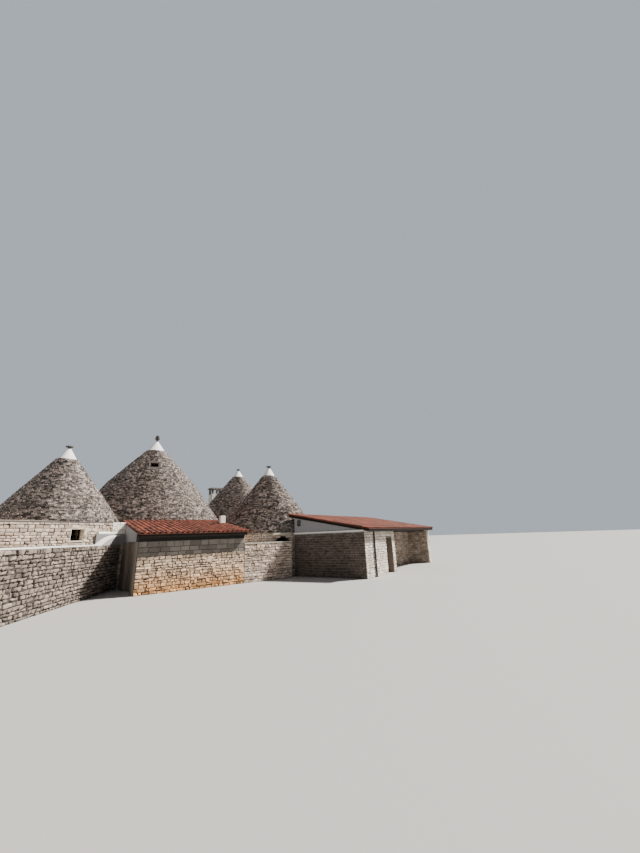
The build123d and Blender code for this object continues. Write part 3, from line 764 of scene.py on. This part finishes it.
def add_course(
    bm, place, spans, low, high, rng, *, sizes, joint, proud, skew, chamfer=0.0, doubled=0.0, tones=(0.2, 0.9),
    darker=0.9
):
    """One course of stones side by side, bent onto the face.

    sizes are the shortest and longest stone, proud is how far they stand out and skew how crooked they are.
    doubled is the share that are two thin stones, one on the other, and darker makes pale tones rarer.
    """
    row = bmesh.new()
    tone = row.verts.layers.float.new("tone")
    shortest, longest = sizes
    for start, end in spans:
        at = start
        while end - at > 0.01:
            width = rng.uniform(shortest, longest)
            if end - at - width < shortest:
                width = end - at
            out = rng.uniform(*proud)
            middle = Vector((at + width / 2, (out - STONE_SINK) / 2, (low + high) / 2))
            size = Vector((
                max(LEAST_STONE, width - joint), out + STONE_SINK, max(LEAST_STONE, high - low - joint)
            ))
            layers = [(middle.z, size.z)]
            if size.z > DOUBLED_FROM and rng.random() < doubled:
                lower = size.z * rng.uniform(0.38, 0.62)
                upper = size.z - lower - joint
                foot = middle.z - size.z / 2
                layers = [(foot + lower / 2, lower), (foot + lower + joint + upper / 2, upper)]
            for height, depth in layers:
                stone = add_box(row, (middle.x, middle.y, height), (size.x, size.y, depth))
                stone_tone = tones[0] + (tones[1] - tones[0]) * rng.betavariate(0.9, darker)
                for vert in stone:
                    vert[tone] = stone_tone
                    vert.co.x += rng.uniform(-skew, skew)
                    vert.co.z += rng.uniform(-skew, skew)
                    if vert.co.y > 0:
                        vert.co.y += rng.uniform(-skew, skew) * 0.7
            at += width
    if chamfer:
        fronts = [face for face in row.faces if face.normal.y > 0.7]
        bmesh.ops.inset_individual(row, faces=fronts, thickness=chamfer, depth=chamfer * 0.7)
    for vert in row.verts:
        vert.co = place(*vert.co)
        vert.co.z = max(vert.co.z, 0.0)
    pour(row, bm)


def rubble_cut(changes):
    """How wall rubble is cut, for add_course, with changes to it."""
    stones = settings().stones
    return {
        "sizes": (stones.wall_shortest, stones.wall_longest), "joint": stones.joint, "proud": (0.006, 0.034),
        "skew": 0.014, "chamfer": 0.014, "doubled": 0.12,
    } | changes


def add_wall(bm, start, end, foot, head, rng, holes=(), top=None, course=None, **changes):
    """Rubble over one flat wall face. top gives the wall's height along the face."""
    length, place = flat_face(start, end)
    cut = rubble_cut(changes)
    lines = course_lines(foot, head, course or settings().stones.wall_course, rng)
    for low, high in zip(lines, lines[1:]):
        spans = free_spans(length, low, high, holes)
        if top:
            spans = [span for span in (clip_to_top(span, high, top) for span in spans) if span]
        add_course(bm, place, spans, low, high, rng, **cut)


def lay_walls(name, look, rng, walls):
    """A piece of rubble walls. A wall is its start, end, foot and head, and its changes for add_wall."""
    bm = bmesh.new()
    for start, end, foot, head, changes in walls:
        add_wall(bm, start, end, foot, head, rng, **changes)
    finish_piece(bm, name, stone_finish(look))


def add_drum(bm, node, foot, head, rng, doors):
    """Rubble round a drum. A door is its facing in degrees, its half width and its height, with a round head."""
    low_corner, high_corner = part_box(node)
    centre = Vector(((low_corner.x + high_corner.x) / 2, low_corner.y + (high_corner.x - low_corner.x) / 2, 0))
    radius = (high_corner.x - low_corner.x) / 2
    length, place = round_face(centre, radius)
    cut = rubble_cut({})
    clear = 0.01
    lines = course_lines(foot, head, settings().stones.wall_course, rng)
    for low, high in zip(lines, lines[1:]):
        holes = []
        for facing, half, height in doors:
            mid = (low + high) / 2
            spring = height - half
            wide = half if mid < spring else math.sqrt(max(0.0, half ** 2 - (mid - spring) ** 2))
            at = (-math.radians(facing) % (2 * math.pi)) * radius
            for turn in (-length, 0.0, length):
                holes.append((at - wide - clear + turn, at + wide + clear + turn, 0.0, height))
        add_course(bm, place, free_spans(length, low, high, holes), low, high, rng, **cut)


def cone_radius(eave, cap, foot, head, swell, height):
    """Radius at a height of a cone of two straight bands that meet at its swollen middle."""
    foot += EAVE_LIP
    middle, waist = (foot + head) / 2 + swell, (eave + cap) / 2 + swell
    if height < middle:
        return eave + (waist - eave) * max(0.0, height - foot) / (middle - foot)
    return waist + (cap - waist) * (height - middle) / (head - middle)


def vent_spans(place, length, bottom, top):
    """The course without the stretch that the vent's stone frame fills."""
    low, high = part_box("big_trullo_vent_frame")
    overlap = 0.02
    if top < low.z + overlap or bottom > high.z - overlap:
        return [(0.0, length)]
    middle = (low + high) / 2

    def is_open(at):
        point = place(at, 0.0, 0.0)
        return math.hypot(point.x - middle.x, point.y - middle.y) > VENT_CLEAR

    return open_spans(length, 720, 0.06, is_open)


# Operators

class TRULLO_OT_cones(bpy.types.Operator):
    """Lay the courses of flat roofing slabs over the four cones"""

    bl_idname = "trullo.cones"
    bl_label = "Cone courses"

    def execute(self, context):
        stones = settings().stones
        for index, (node, cap, swell) in enumerate(CONES):
            rng = random.Random(stones.seed + index)
            low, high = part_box(node)
            centre = (low + high) / 2
            eave = (high.x - low.x) / 2
            bm = bmesh.new()
            lines = course_lines(low.z, high.z - TOP_CLEAR, stones.cone_course, rng)
            for bottom, top in zip(lines, lines[1:]):
                radius = cone_radius(eave, cap, low.z, high.z, swell, bottom)
                length, place = round_face(centre, radius, rng.uniform(0, 2 * math.pi))
                spans = [(0.0, length)]
                if node == "big_trullo_cone":
                    spans = vent_spans(place, length, bottom, top)
                base = rng.uniform(-0.10, 0.10)
                add_course(
                    bm, place, spans, bottom, top, rng, sizes=(stones.cone_shortest, stones.cone_longest),
                    tones=(base, base + 1.0), **SLAB_CUT,
                )
            finish_piece(bm, node.replace("_cone", "_courses"), stone_finish("cone_slabs"))
        return {"FINISHED"}


class TRULLO_OT_walls(bpy.types.Operator):
    """Lay the rubble of the house walls and the round drums"""

    bl_idname = "trullo.walls"
    bl_label = "House walls"

    def execute(self, context):
        rng = random.Random(settings().stones.seed + 10)
        right, left = Vector((LEAN_HALF, LEAN_FACE, 0)), Vector((-LEAN_HALF, LEAN_FACE, 0))
        back = Vector((LEAN_HALF, LEAN_ROOF_BACK, 0))
        side = (back - right).length

        def under_roof(a):
            """The rubble stops below the roof, measured a little in front of the course."""
            forward, below = 0.1, 0.05
            return LEAN_EAVE + LEAN_SLOPE * (side - a + LEAN_FACE - LEAN_ROOF_FRONT - forward) - below

        lay_walls("lean_to_rubble", "lean_to_stone", rng, (
            (right, left, 0.0, BLOCK_LINE, LEAN_CUT),
            (back, right, 0.0, LEAN_SIDE_TOP, {"top": under_roof}),
        ))
        # The dark blocks between BLOCK_LINE and PLASTER_LINE are painted eave shadow
        lay_walls("lean_to_blocks", "block_stone_painted_shade", rng, (
            (right, left, BLOCK_LINE, PLASTER_LINE, BLOCK_CUT),
        ))
        front, rear, top = -HOUSE_HALF_DEPTH, HOUSE_HALF_DEPTH, HOUSE_WALL_TOP
        edge, shoulder_end = front - HOUSE_SHOULDER_OUT, HOUSE_FRONT_END - 0.06
        window = (HOUSE_FRONT_END - WINDOW[1], HOUSE_FRONT_END - WINDOW[0], WINDOW[2], WINDOW[3])
        door = (rear - DOOR_HALF, rear + DOOR_HALF, 0.0, DOOR_HEIGHT)
        walls = (
            ((HOUSE_FRONT_END, front), (HOUSE_LEFT, front), 0.0, top, {"holes": [window]}),
            ((shoulder_end, edge), (HOUSE_LEFT, edge), top, HOUSE_SHOULDER_TOP - SHOULDER_CLEAR, SHOULDER_CUT),
            ((HOUSE_LEFT, front), (HOUSE_LEFT, rear), 0.0, top, {"holes": [door]}),
            ((HOUSE_LEFT, rear), (HOUSE_BACK_END, rear), 0.0, top, {}),
        )
        walls = [(in_house(*start), in_house(*end), *rest) for start, end, *rest in walls]
        lay_walls("left_house_rubble", "house_rubble", rng, walls)

        for name, head, look, doors in DRUMS:
            bm = bmesh.new()
            add_drum(bm, name + "_trullo_front_wall", 0.0, head, rng, doors)
            finish_piece(bm, name + "_trullo_rubble", stone_finish(look))
        return {"FINISHED"}


class TRULLO_OT_flags(bpy.types.Operator):
    """Lay flagstones round the left cone and whitewashed blocks on the chimney"""

    bl_idname = "trullo.flags"
    bl_label = "Flags and chimney stone"

    def execute(self, context):
        rng = random.Random(settings().stones.seed + 100)
        clear = CONE_FOOT + 0.05

        def place(a, o, z):
            return in_house(HOUSE_LEFT + a, z) + Vector((0, 0, HOUSE_SHOULDER_TOP + o))

        def is_open(a, v):
            at = place(a, 0, v)
            return math.hypot(at.x, at.y) > BIG_EAVE and (at - HOUSE_MIDDLE).to_2d().length > clear

        bm = bmesh.new()
        lines = course_lines(-HOUSE_HALF_DEPTH, HOUSE_HALF_DEPTH, FLAG_COURSE, rng)
        for low, high in zip(lines, lines[1:]):
            spans = open_spans(
                HOUSE_RIGHT - HOUSE_LEFT, 280, 0.08, lambda a: is_open(a, low) and is_open(a, high)
            )
            add_course(bm, place, spans, low, high, rng, **FLAG_CUT)
        finish_piece(bm, "left_house_flags", stone_finish("flagstone"))

        low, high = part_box("chimney_stack")
        corners = box_corners(low, high)
        walls = [
            (start, end, 0.0, high.z - TOP_CLEAR, CHIMNEY_CUT)
            for start, end in zip(corners, corners[1:] + corners[:1])
        ]
        lay_walls("chimney_blocks", "chimney_stone", rng, walls)
        return {"FINISHED"}


class TRULLO_OT_wing_walls(bpy.types.Operator):
    """Lay the plastered rubble of the wing"""

    bl_idname = "trullo.wing_walls"
    bl_label = "Wing walls"

    def execute(self, context):
        rng = random.Random(settings().stones.seed + 30)
        rafter_top = WING_EAVE - RAFTER

        def under(v):
            return rafter_top + WING_SLOPE * v

        def gable_top(a):
            return WING_EAVE + WING_SLOPE * (WING_BACK - a)

        front, back, porch_back, room_end = WING_FRONT, WING_BACK, WING_PORCH_BACK, WING_ROOM_END
        room_door = (room_end - WING_DOOR[1], room_end - WING_DOOR[0], 0.0, WING_DOOR_HEIGHT)
        inner_end = WING_RIGHT - WING_WALL
        # Each face: its start and end in the wing's plan, its top, and its holes or its sloping top
        for name, look, faces in (
            # The gable rubble's dark stone is painted shade
            ("wing_gable_rubble", "wing_gable_stone_painted_shade", (
                ((WING_LEFT, front), (WING_LEFT, back), WING_GABLE_RUBBLE_TOP, {}),
            )),
            ("wing_front_rubble", "washed_stone", (
                ((room_end, front), (WING_LEFT, front), under(front), {"holes": [room_door]}),
                ((room_end, porch_back), (room_end, front), under(front), {}),
                ((WING_RIGHT, front), (inner_end, front), under(front) + RAFTER, {}),
            )),
            ("wing_rubble", "wing_stone", (
                ((inner_end, porch_back), (room_end, porch_back), under(porch_back), {}),
                ((inner_end, front), (inner_end, porch_back), under(front), {}),
                ((WING_RIGHT, back), (WING_RIGHT, front), under(back) + RAFTER, {"top": gable_top}),
                ((WING_LEFT, back), (WING_RIGHT, back), under(back), {}),
            )),
        ):
            walls = [
                (in_wing(*start), in_wing(*end), 0.0, head - TOP_CLEAR, WING_CUT | own)
                for start, end, head, own in faces
            ]
            lay_walls(name, look, rng, walls)
        return {"FINISHED"}


class TRULLO_OT_garden_walls(bpy.types.Operator):
    """Lay the dry-stone garden walls"""

    bl_idname = "trullo.garden_walls"
    bl_label = "Garden walls"

    def execute(self, context):
        rng = random.Random(settings().stones.seed + 50)
        far, near = -YARD_LENGTH, YARD_DEPTH
        plan = (YARD_FRONT_END, 0.0), (far, 0.0), (far, near), (YARD_BACK_END, near)
        corners = [in_yard(*at) for at in plan]
        walls = [(start, end, 0.0, YARD_TOP, YARD_CUT) for start, end in zip(corners, corners[1:])]
        lay_walls("garden_rubble", "dry_rubble", rng, walls)

        low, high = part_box("forecourt_wall")
        corners = box_corners(low, high)
        walls = [
            (corners[first], corners[last], 0.0, high.z - TOP_CLEAR, FORECOURT_CUT)
            for first, last in ((0, 1), (2, 3), (3, 0))
        ]
        lay_walls("forecourt_rubble", "forecourt_stone", rng, walls)
        return {"FINISHED"}


def tile_roof(name, node, material, corner, turn, width, depth, eave, slope, rng):
    """Boarding, channel tiles and cover tiles over one shed roof, inside the depth of its layer of tiles."""
    tiles = settings().tiles
    columns = round(width / tiles.pitch)
    pitch = width / columns
    rows = round((depth - tiles.lap) / tiles.exposure)
    exposure = (depth - tiles.lap) / rows
    long = exposure + tiles.lap
    bm = bmesh.new()
    tone = bm.verts.layers.float.new("tone")
    for vert in add_box(bm, (width / 2, depth / 2, tiles.board / 2), (width, depth, tiles.board)):
        vert[tone] = 0.1
    cover_radius, channel_radius = pitch * 0.40, pitch * 0.36
    # A channel keeps the lower half of its tube and a cover the upper half
    for radius, first, count, lift, cleared, squash in (
        (channel_radius, pitch, columns - 1, tiles.board + channel_radius * 0.62, 1, 0.60),
        (cover_radius, pitch / 2, columns, tiles.board + 0.004, -1, 0.80),
    ):
        start = len(bm.verts)
        tube = bmesh.ops.create_cone(
            bm, segments=12, radius1=radius, radius2=radius * 0.86, depth=long, cap_ends=False,
            matrix=Matrix.Translation((first, long / 2, lift)) @ Matrix.Rotation(math.radians(-90), 4, "X"),
        )
        verts = tube["verts"]
        faces = in_order(face for vert in verts for face in vert.link_faces)
        edges = in_order(edge for face in faces for edge in face.edges)
        cut = bmesh.ops.bisect_plane(
            bm, geom=verts + edges + faces, plane_co=(0, 0, lift), plane_no=(0, 0, cleared), clear_outer=True
        )
        faces = [item for item in cut["geom"] if isinstance(item, bmesh.types.BMFace)]
        shell = bmesh.ops.solidify(bm, geom=faces, thickness=tiles.wall)
        whole = in_order(faces + [item for item in shell["geom"] if isinstance(item, bmesh.types.BMFace)])
        verts = in_order(vert for face in whole for vert in face.verts)
        for vert in verts:
            vert.co.z = lift + (vert.co.z - lift) * squash
        per_tile = len(verts)
        bmesh.ops.spin(
            bm, geom=verts + in_order(edge for face in whole for edge in face.edges) + whole, angle=0.0,
            steps=rows - 1, axis=(0, 0, 1), cent=(0, 0, 0), dvec=(0, exposure, 0), use_duplicate=True,
        )
        bm.verts.ensure_lookup_table()
        strip = bm.verts[start:]
        strip_edges = in_order(edge for vert in strip for edge in vert.link_edges)
        strip_faces = in_order(face for vert in strip for face in vert.link_faces)
        bmesh.ops.spin(
            bm, geom=list(strip) + strip_edges + strip_faces, angle=0.0, steps=count - 1, axis=(0, 0, 1),
            cent=(0, 0, 0), dvec=(pitch, 0, 0), use_duplicate=True,
        )
        bm.verts.ensure_lookup_table()
        for first_vert in range(start, len(bm.verts), per_tile):
            value, shift, tip = rng.uniform(0.1, 0.95), rng.uniform(-0.006, 0.006), rng.uniform(-0.004, 0.004)
            for vert in bm.verts[first_vert:first_vert + per_tile]:
                vert[tone] = value
                vert.co.x += shift
                vert.co.z += tip
    lay = Matrix.Translation(Vector(corner) + Vector((0, 0, eave))) @ Matrix.Rotation(turn, 4, "Z")
    for vert in bm.verts:
        vert.co.x = min(max(vert.co.x, 0.0), width)
        vert.co.z += slope * vert.co.y
    bmesh.ops.transform(bm, matrix=lay, verts=bm.verts)
    piece = finish_piece(bm, name, material)
    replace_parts(piece, node)


class TRULLO_OT_tiles(bpy.types.Operator):
    """Lay the clay barrel tiles on both shed roofs"""

    bl_idname = "trullo.tiles"
    bl_label = "Clay tiles"

    def execute(self, context):
        colours = settings().colours
        rng = random.Random(settings().stones.seed + 70)
        tile_roof(
            "lean_to_tiles", "lean_to_tile_roof", clay_finish("lean_to_clay", colours.tile),
            (LEAN_ROOF_LEFT, LEAN_ROOF_FRONT, 0), 0.0, LEAN_ROOF_RIGHT - LEAN_ROOF_LEFT,
            LEAN_ROOF_BACK - LEAN_ROOF_FRONT, LEAN_EAVE, LEAN_SLOPE, rng,
        )
        tile_roof(
            "wing_tiles", "wing_tile_roof", clay_finish("wing_clay", colours.wing_tile),
            WING_CORNER, WING_TURN, WING_LENGTH, WING_DEPTH, WING_EAVE, WING_SLOPE, rng,
        )
        return {"FINISHED"}


class TRULLO_OT_plaster(bpy.types.Operator):
    """Make the plastered corner and the window's surround on the left house"""

    bl_idname = "trullo.plaster"
    bl_label = "Left house plaster"

    def execute(self, context):
        rng = random.Random(settings().stones.seed + 80)
        face = -HOUSE_HALF_DEPTH
        left, right, foot, head = CORNER
        bm = bmesh.new()
        # The corner panel's dark plaster is painted shadow
        add_block(bm, in_house, (left, right), (face - 0.10, face + 0.04), (foot, head), 0.012)
        finish_piece(bm, "corner_panel", lime_finish("corner_plaster_painted_shade"))

        bm = bmesh.new()
        add_block(
            bm, in_house, (left + 0.10, right), (face - 0.09, face + 0.04), (head + 0.003, head + 0.035),
            0.010, 0.10,
        )
        start, end = in_house(HOUSE_FRONT_END, face - 0.02), in_house(HOUSE_FRONT_END - 0.62, face - 0.02)
        add_wall(bm, start, end, head + 0.05, HOUSE_SHOULDER_TOP, rng, **CORNER_CUT)
        tone = bm.verts.layers.float.get("tone")
        for vert in bm.verts:
            vert[tone] = 0.5 + vert[tone] * 0.5
        finish_piece(bm, "corner_whitewash", stone_finish("whitewashed_rubble"))

        # Both reveals, the lintel, the sill and the right jamb
        left, right, foot, head = WINDOW
        front, back = face - 0.012, face + 0.245
        bm = bmesh.new()
        for u, v, z, edge in (
            ((right - 0.008, right + 0.012), (front, back), (foot, head), 0.006),
            ((left - 0.012, left + 0.008), (front, back), (foot, head), 0.006),
            ((left - 0.05, right + 0.14), (front - 0.012, back), (head - 0.025, head + 0.11), 0.010),
            ((left - 0.04, right + 0.04), (front - 0.012, back), (foot - 0.035, foot + 0.02), 0.008),
            ((right + 0.014, right + 0.14), (front - 0.012, face + 0.04), (foot, head - 0.027), 0.008),
        ):
            add_block(bm, in_house, u, v, z, edge)
        finish_piece(bm, "window_surround", lime_finish("window_lime"))
        return {"FINISHED"}


class TRULLO_OT_gable_trim(bpy.types.Operator):
    """Make the barge board and the small vent on the wing's gable"""

    bl_idname = "trullo.gable_trim"
    bl_label = "Gable trim"

    def execute(self, context):
        def on_slope(u, v):
            return in_wing(u, v) + Vector((0, 0, WING_EAVE + WING_SLOPE * v))

        def on_gable(u, v):
            return in_wing(WING_LEFT + u, v)

        bm = bmesh.new()
        add_block(
            bm, on_slope, (WING_LEFT - 0.045, WING_LEFT - 0.002), (0.02, WING_DEPTH - 0.02), (-0.10, -0.002),
            0.004,
        )
        finish_piece(bm, "wing_barge_board", timber_finish("eave_timber_painted_shade"))

        left, right, foot, head = GABLE_VENT
        inner = left + VENT_RIM - 0.002, right - VENT_RIM + 0.002
        bm = bmesh.new()
        for v, z in (
            ((left, left + VENT_RIM), (foot, head)),
            ((right - VENT_RIM, right), (foot, head)),
            (inner, (head - VENT_RIM, head)),
            (inner, (foot, foot + VENT_RIM)),
        ):
            add_block(bm, on_gable, (-0.022, 0.01), v, z, 0.003)
        step = (head - foot - 2 * VENT_RIM) / VENT_SLATS
        for index in range(VENT_SLATS):
            z = foot + VENT_RIM + step * index
            add_block(bm, on_gable, (-0.014, 0.01), inner, (z + 0.004, z + step * 0.62), 0.002)
        finish_piece(bm, "wing_gable_vent", timber_finish("eave_timber_painted_shade"))
        return {"FINISHED"}


class TRULLO_OT_screen(bpy.types.Operator):
    """Make the lean-to's screen of upright boards and the boards on both sides of it"""

    bl_idname = "trullo.screen"
    bl_label = "Board screen"

    def execute(self, context):
        rng = random.Random(settings().stones.seed + 90)
        low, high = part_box("lean_to_board_screen")
        bm = bmesh.new()
        board = (high.y - low.y) / SCREEN_BOARDS
        for index in range(SCREEN_BOARDS):
            add_plank(
                bm, ((low.x + high.x) / 2 + 0.006, low.y + board * (index + 0.5), (low.z + high.z) / 2),
                (0.026, board - BOARD_GAP, high.z - low.z - rng.uniform(0.004, 0.03)),
            )
        for height in (0.35, 1.45):
            add_box(bm, (high.x - 0.014, (low.y + high.y) / 2, height), (0.026, high.y - low.y, 0.09))
        for first, last in ((LEAN_FACE + 0.015, low.y), (high.y, LEAN_ROOF_BACK - 0.05)):
            count = round((last - first) / SIDE_BOARD)
            board = (last - first) / count
            for index in range(count):
                add_plank(
                    bm, (-LEAN_HALF - 0.014, first + board * (index + 0.5), PLASTER_LINE / 2),
                    (0.024, board - BOARD_GAP, PLASTER_LINE - rng.uniform(0.01, 0.05)),
                )
        # The boards' near-black finish is painted shade
        wood = timber_finish("old_boards")
        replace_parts(finish_piece(bm, "screen_boards", wood), "lean_to_board_screen")
        return {"FINISHED"}


class TRULLO_OT_finishes(bpy.types.Operator):
    """Give each solid of the frame its finish"""

    bl_idname = "trullo.finishes"
    bl_label = "Finishes"

    def execute(self, context):
        colours = settings().colours
        mortar, core = stone_finish("wall_mortar"), stone_finish("cone_core")
        timber = timber_finish("eave_timber_painted_shade")
        by_slot = {
            "field_stone": mortar,
            "shed_stone": mortar,
            "dry_stone": stone_finish("dry_joints"),
            "cone_stone": core,
            "pale_stone": stone_finish("cut_limestone"),
            "finial_stone": stone_finish("finial_painted_shade"),
            "lime_plaster": lime_finish("lime_plaster"),
            "roof_tile": clay_finish("lean_to_clay", colours.tile),
            "wing_tile": clay_finish("wing_clay", colours.wing_tile),
            "timber": timber,
            "old_boards": timber,
            "pipe_metal": pipe_finish(),
        }
        special = {
            # Painted shade: the near-black coat above the plaster line stands in for the shadow under the
            # lean-to's eave; below the line is dark mortar
            "lean_to_front_wall": two_part_finish(
                "mortar_and_eave_painted_shade", tint(colours.rubble, 0.3), PLASTER_LINE, (0.012, 0.011, 0.010), 0.4
            ),
            # Painted shade: the wing gable's plaster above the line is darkened and blued to stand in for its
            # shade; below it is mortar
            "wing_gable_wall": two_part_finish(
                "wing_plaster_painted_shade", tint(colours.rubble, 0.6), PLASTER_LINE,
                tint(colours.lime, (0.30, 0.31, 0.34)), 0.6,
            ),
            # Painted shade: the plaster above the garden wall's top is darkened to stand in for its shade; below
            # it are the dark joints
            "garden_wall": two_part_finish(
                "yard_plaster_painted_shade", tint(colours.dry_wall, 0.3), YARD_TOP, tint(colours.lime, 0.34), 0.6
            ),
            # Painted shadow: the shoulder slab takes the dark cone core so that it shows as the shadow line
            # under the cone's eave
            "left_house_shoulder_slab": core,
            "wing_fascia": timber,
            "wing_porch_beam": timber,
            "lean_to_plaster_gable": lime_finish("gable_plaster_painted_shade"),
            "big_trullo_vent_frame": stone_finish("vent_stone"),
            "plaster_caps": lime_finish("cap_plaster"),
            "chimney_hood": stone_finish("hood_stone"),
        }
        slots = {part["node"]: part["material_slot"] for part in frame["record"]["subparts"]}
        for node, solid in frame["nodes"].items():
            if not solid.material_slots:
                raise RuntimeError(node + " has no material slot")
            for place in solid.material_slots:
                place.material = special.get(node) or by_slot[slots[node]]
        return {"FINISHED"}


class TRULLO_OT_stage(bpy.types.Operator):
    """Set the floor, the soft light and the camera"""

    bl_idname = "trullo.stage"
    bl_label = "Stage"

    def execute(self, context):
        stage = settings().stage
        bm = bmesh.new()
        bmesh.ops.create_grid(bm, x_segments=1, y_segments=1, size=stage.floor)
        mesh = bpy.data.meshes.new("floor")
        bm.to_mesh(mesh)
        bm.free()
        floor = put("floor", mesh)
        material, tree, shader, place = new_material("floor_paint")
        fill_sockets(tree, shader, {"Base Color": FLOOR_COLOUR, "Roughness": 0.9})
        mesh.materials.append(material)

        # The sky lights the house, and the camera sees a plain backdrop in its place
        world = bpy.data.worlds.new("studio")
        world.use_nodes = True
        tree, nodes = world.node_tree, world.node_tree.nodes
        fill_sockets(tree, nodes["Background"], {"Color": SKY_COLOUR, "Strength": stage.fill})
        backdrop = nodes.new("ShaderNodeBackground")
        fill_sockets(tree, backdrop, {"Color": BACKDROP_COLOUR})
        mix = nodes.new("ShaderNodeMixShader")
        fill_sockets(tree, mix, {
            "Fac": nodes.new("ShaderNodeLightPath").outputs["Is Camera Ray"],
            1: nodes["Background"].outputs["Background"],
            2: backdrop.outputs["Background"],
        })
        tree.links.new(mix.outputs["Shader"], nodes["World Output"].inputs["Surface"])
        context.scene.world = world

        light = bpy.data.lights.new("key", "SUN")
        light.energy = stage.key
        light.angle = SUN_WIDTH
        light.color = SUN_COLOUR
        key = put("key", light)
        towards = Vector((
            math.sin(SUN_AZIMUTH) * math.cos(SUN_HEIGHT), math.cos(SUN_AZIMUTH) * math.cos(SUN_HEIGHT),
            math.sin(SUN_HEIGHT),
        ))
        key.rotation_mode = "QUATERNION"
        key.rotation_quaternion = towards.to_track_quat("Z", "Y")

        camera = bpy.data.cameras.new("camera")
        camera.lens = stage.lens
        camera.clip_end = 1000.0
        eye = put("camera", camera)
        turn, tilt, roll = stage.heading, stage.pitch, stage.roll
        ahead = Vector((math.sin(turn) * math.cos(tilt), math.cos(turn) * math.cos(tilt), math.sin(tilt)))
        level = Vector((math.cos(turn), -math.sin(turn), 0.0))
        side = level * math.cos(roll) + level.cross(ahead) * math.sin(roll)
        up = side.cross(ahead)
        eye.matrix_world = Matrix.Translation(stage.eye) @ Matrix((side, up, -ahead)).transposed().to_4x4()
        context.scene.camera = eye
        return {"FINISHED"}


OPERATORS = (
    TRULLO_OT_finishes,
    TRULLO_OT_cones,
    TRULLO_OT_walls,
    TRULLO_OT_flags,
    TRULLO_OT_wing_walls,
    TRULLO_OT_garden_walls,
    TRULLO_OT_tiles,
    TRULLO_OT_plaster,
    TRULLO_OT_gable_trim,
    TRULLO_OT_screen,
    TRULLO_OT_stage,
)


class TRULLO_PT_panel(bpy.types.Panel):
    """The house's pieces, in the order they are made"""

    bl_idname = "TRULLO_PT_panel"
    bl_label = "Trullo House"
    bl_space_type = "VIEW_3D"
    bl_region_type = "UI"
    bl_category = "Trullo"

    def draw(self, context):
        for operator in OPERATORS:
            self.layout.operator(operator.bl_idname)


VALUES = (TRULLO_PG_stones, TRULLO_PG_tiles, TRULLO_PG_colours, TRULLO_PG_stage, TRULLO_PG_settings)
CLASSES = VALUES + OPERATORS + (TRULLO_PT_panel,)


def register():
    for item in CLASSES:
        bpy.utils.register_class(item)
    bpy.types.Scene.trullo = PointerProperty(type=TRULLO_PG_settings)


def unregister():
    del bpy.types.Scene.trullo
    for item in reversed(CLASSES):
        bpy.utils.unregister_class(item)


def main():
    register()
    bpy.ops.trullo.finishes()
    bpy.ops.trullo.cones()
    bpy.ops.trullo.walls()
    bpy.ops.trullo.flags()
    bpy.ops.trullo.wing_walls()
    bpy.ops.trullo.garden_walls()
    bpy.ops.trullo.tiles()
    bpy.ops.trullo.plaster()
    bpy.ops.trullo.gable_trim()
    bpy.ops.trullo.screen()
    bpy.ops.trullo.stage()


if __name__ == "__main__":
    main()
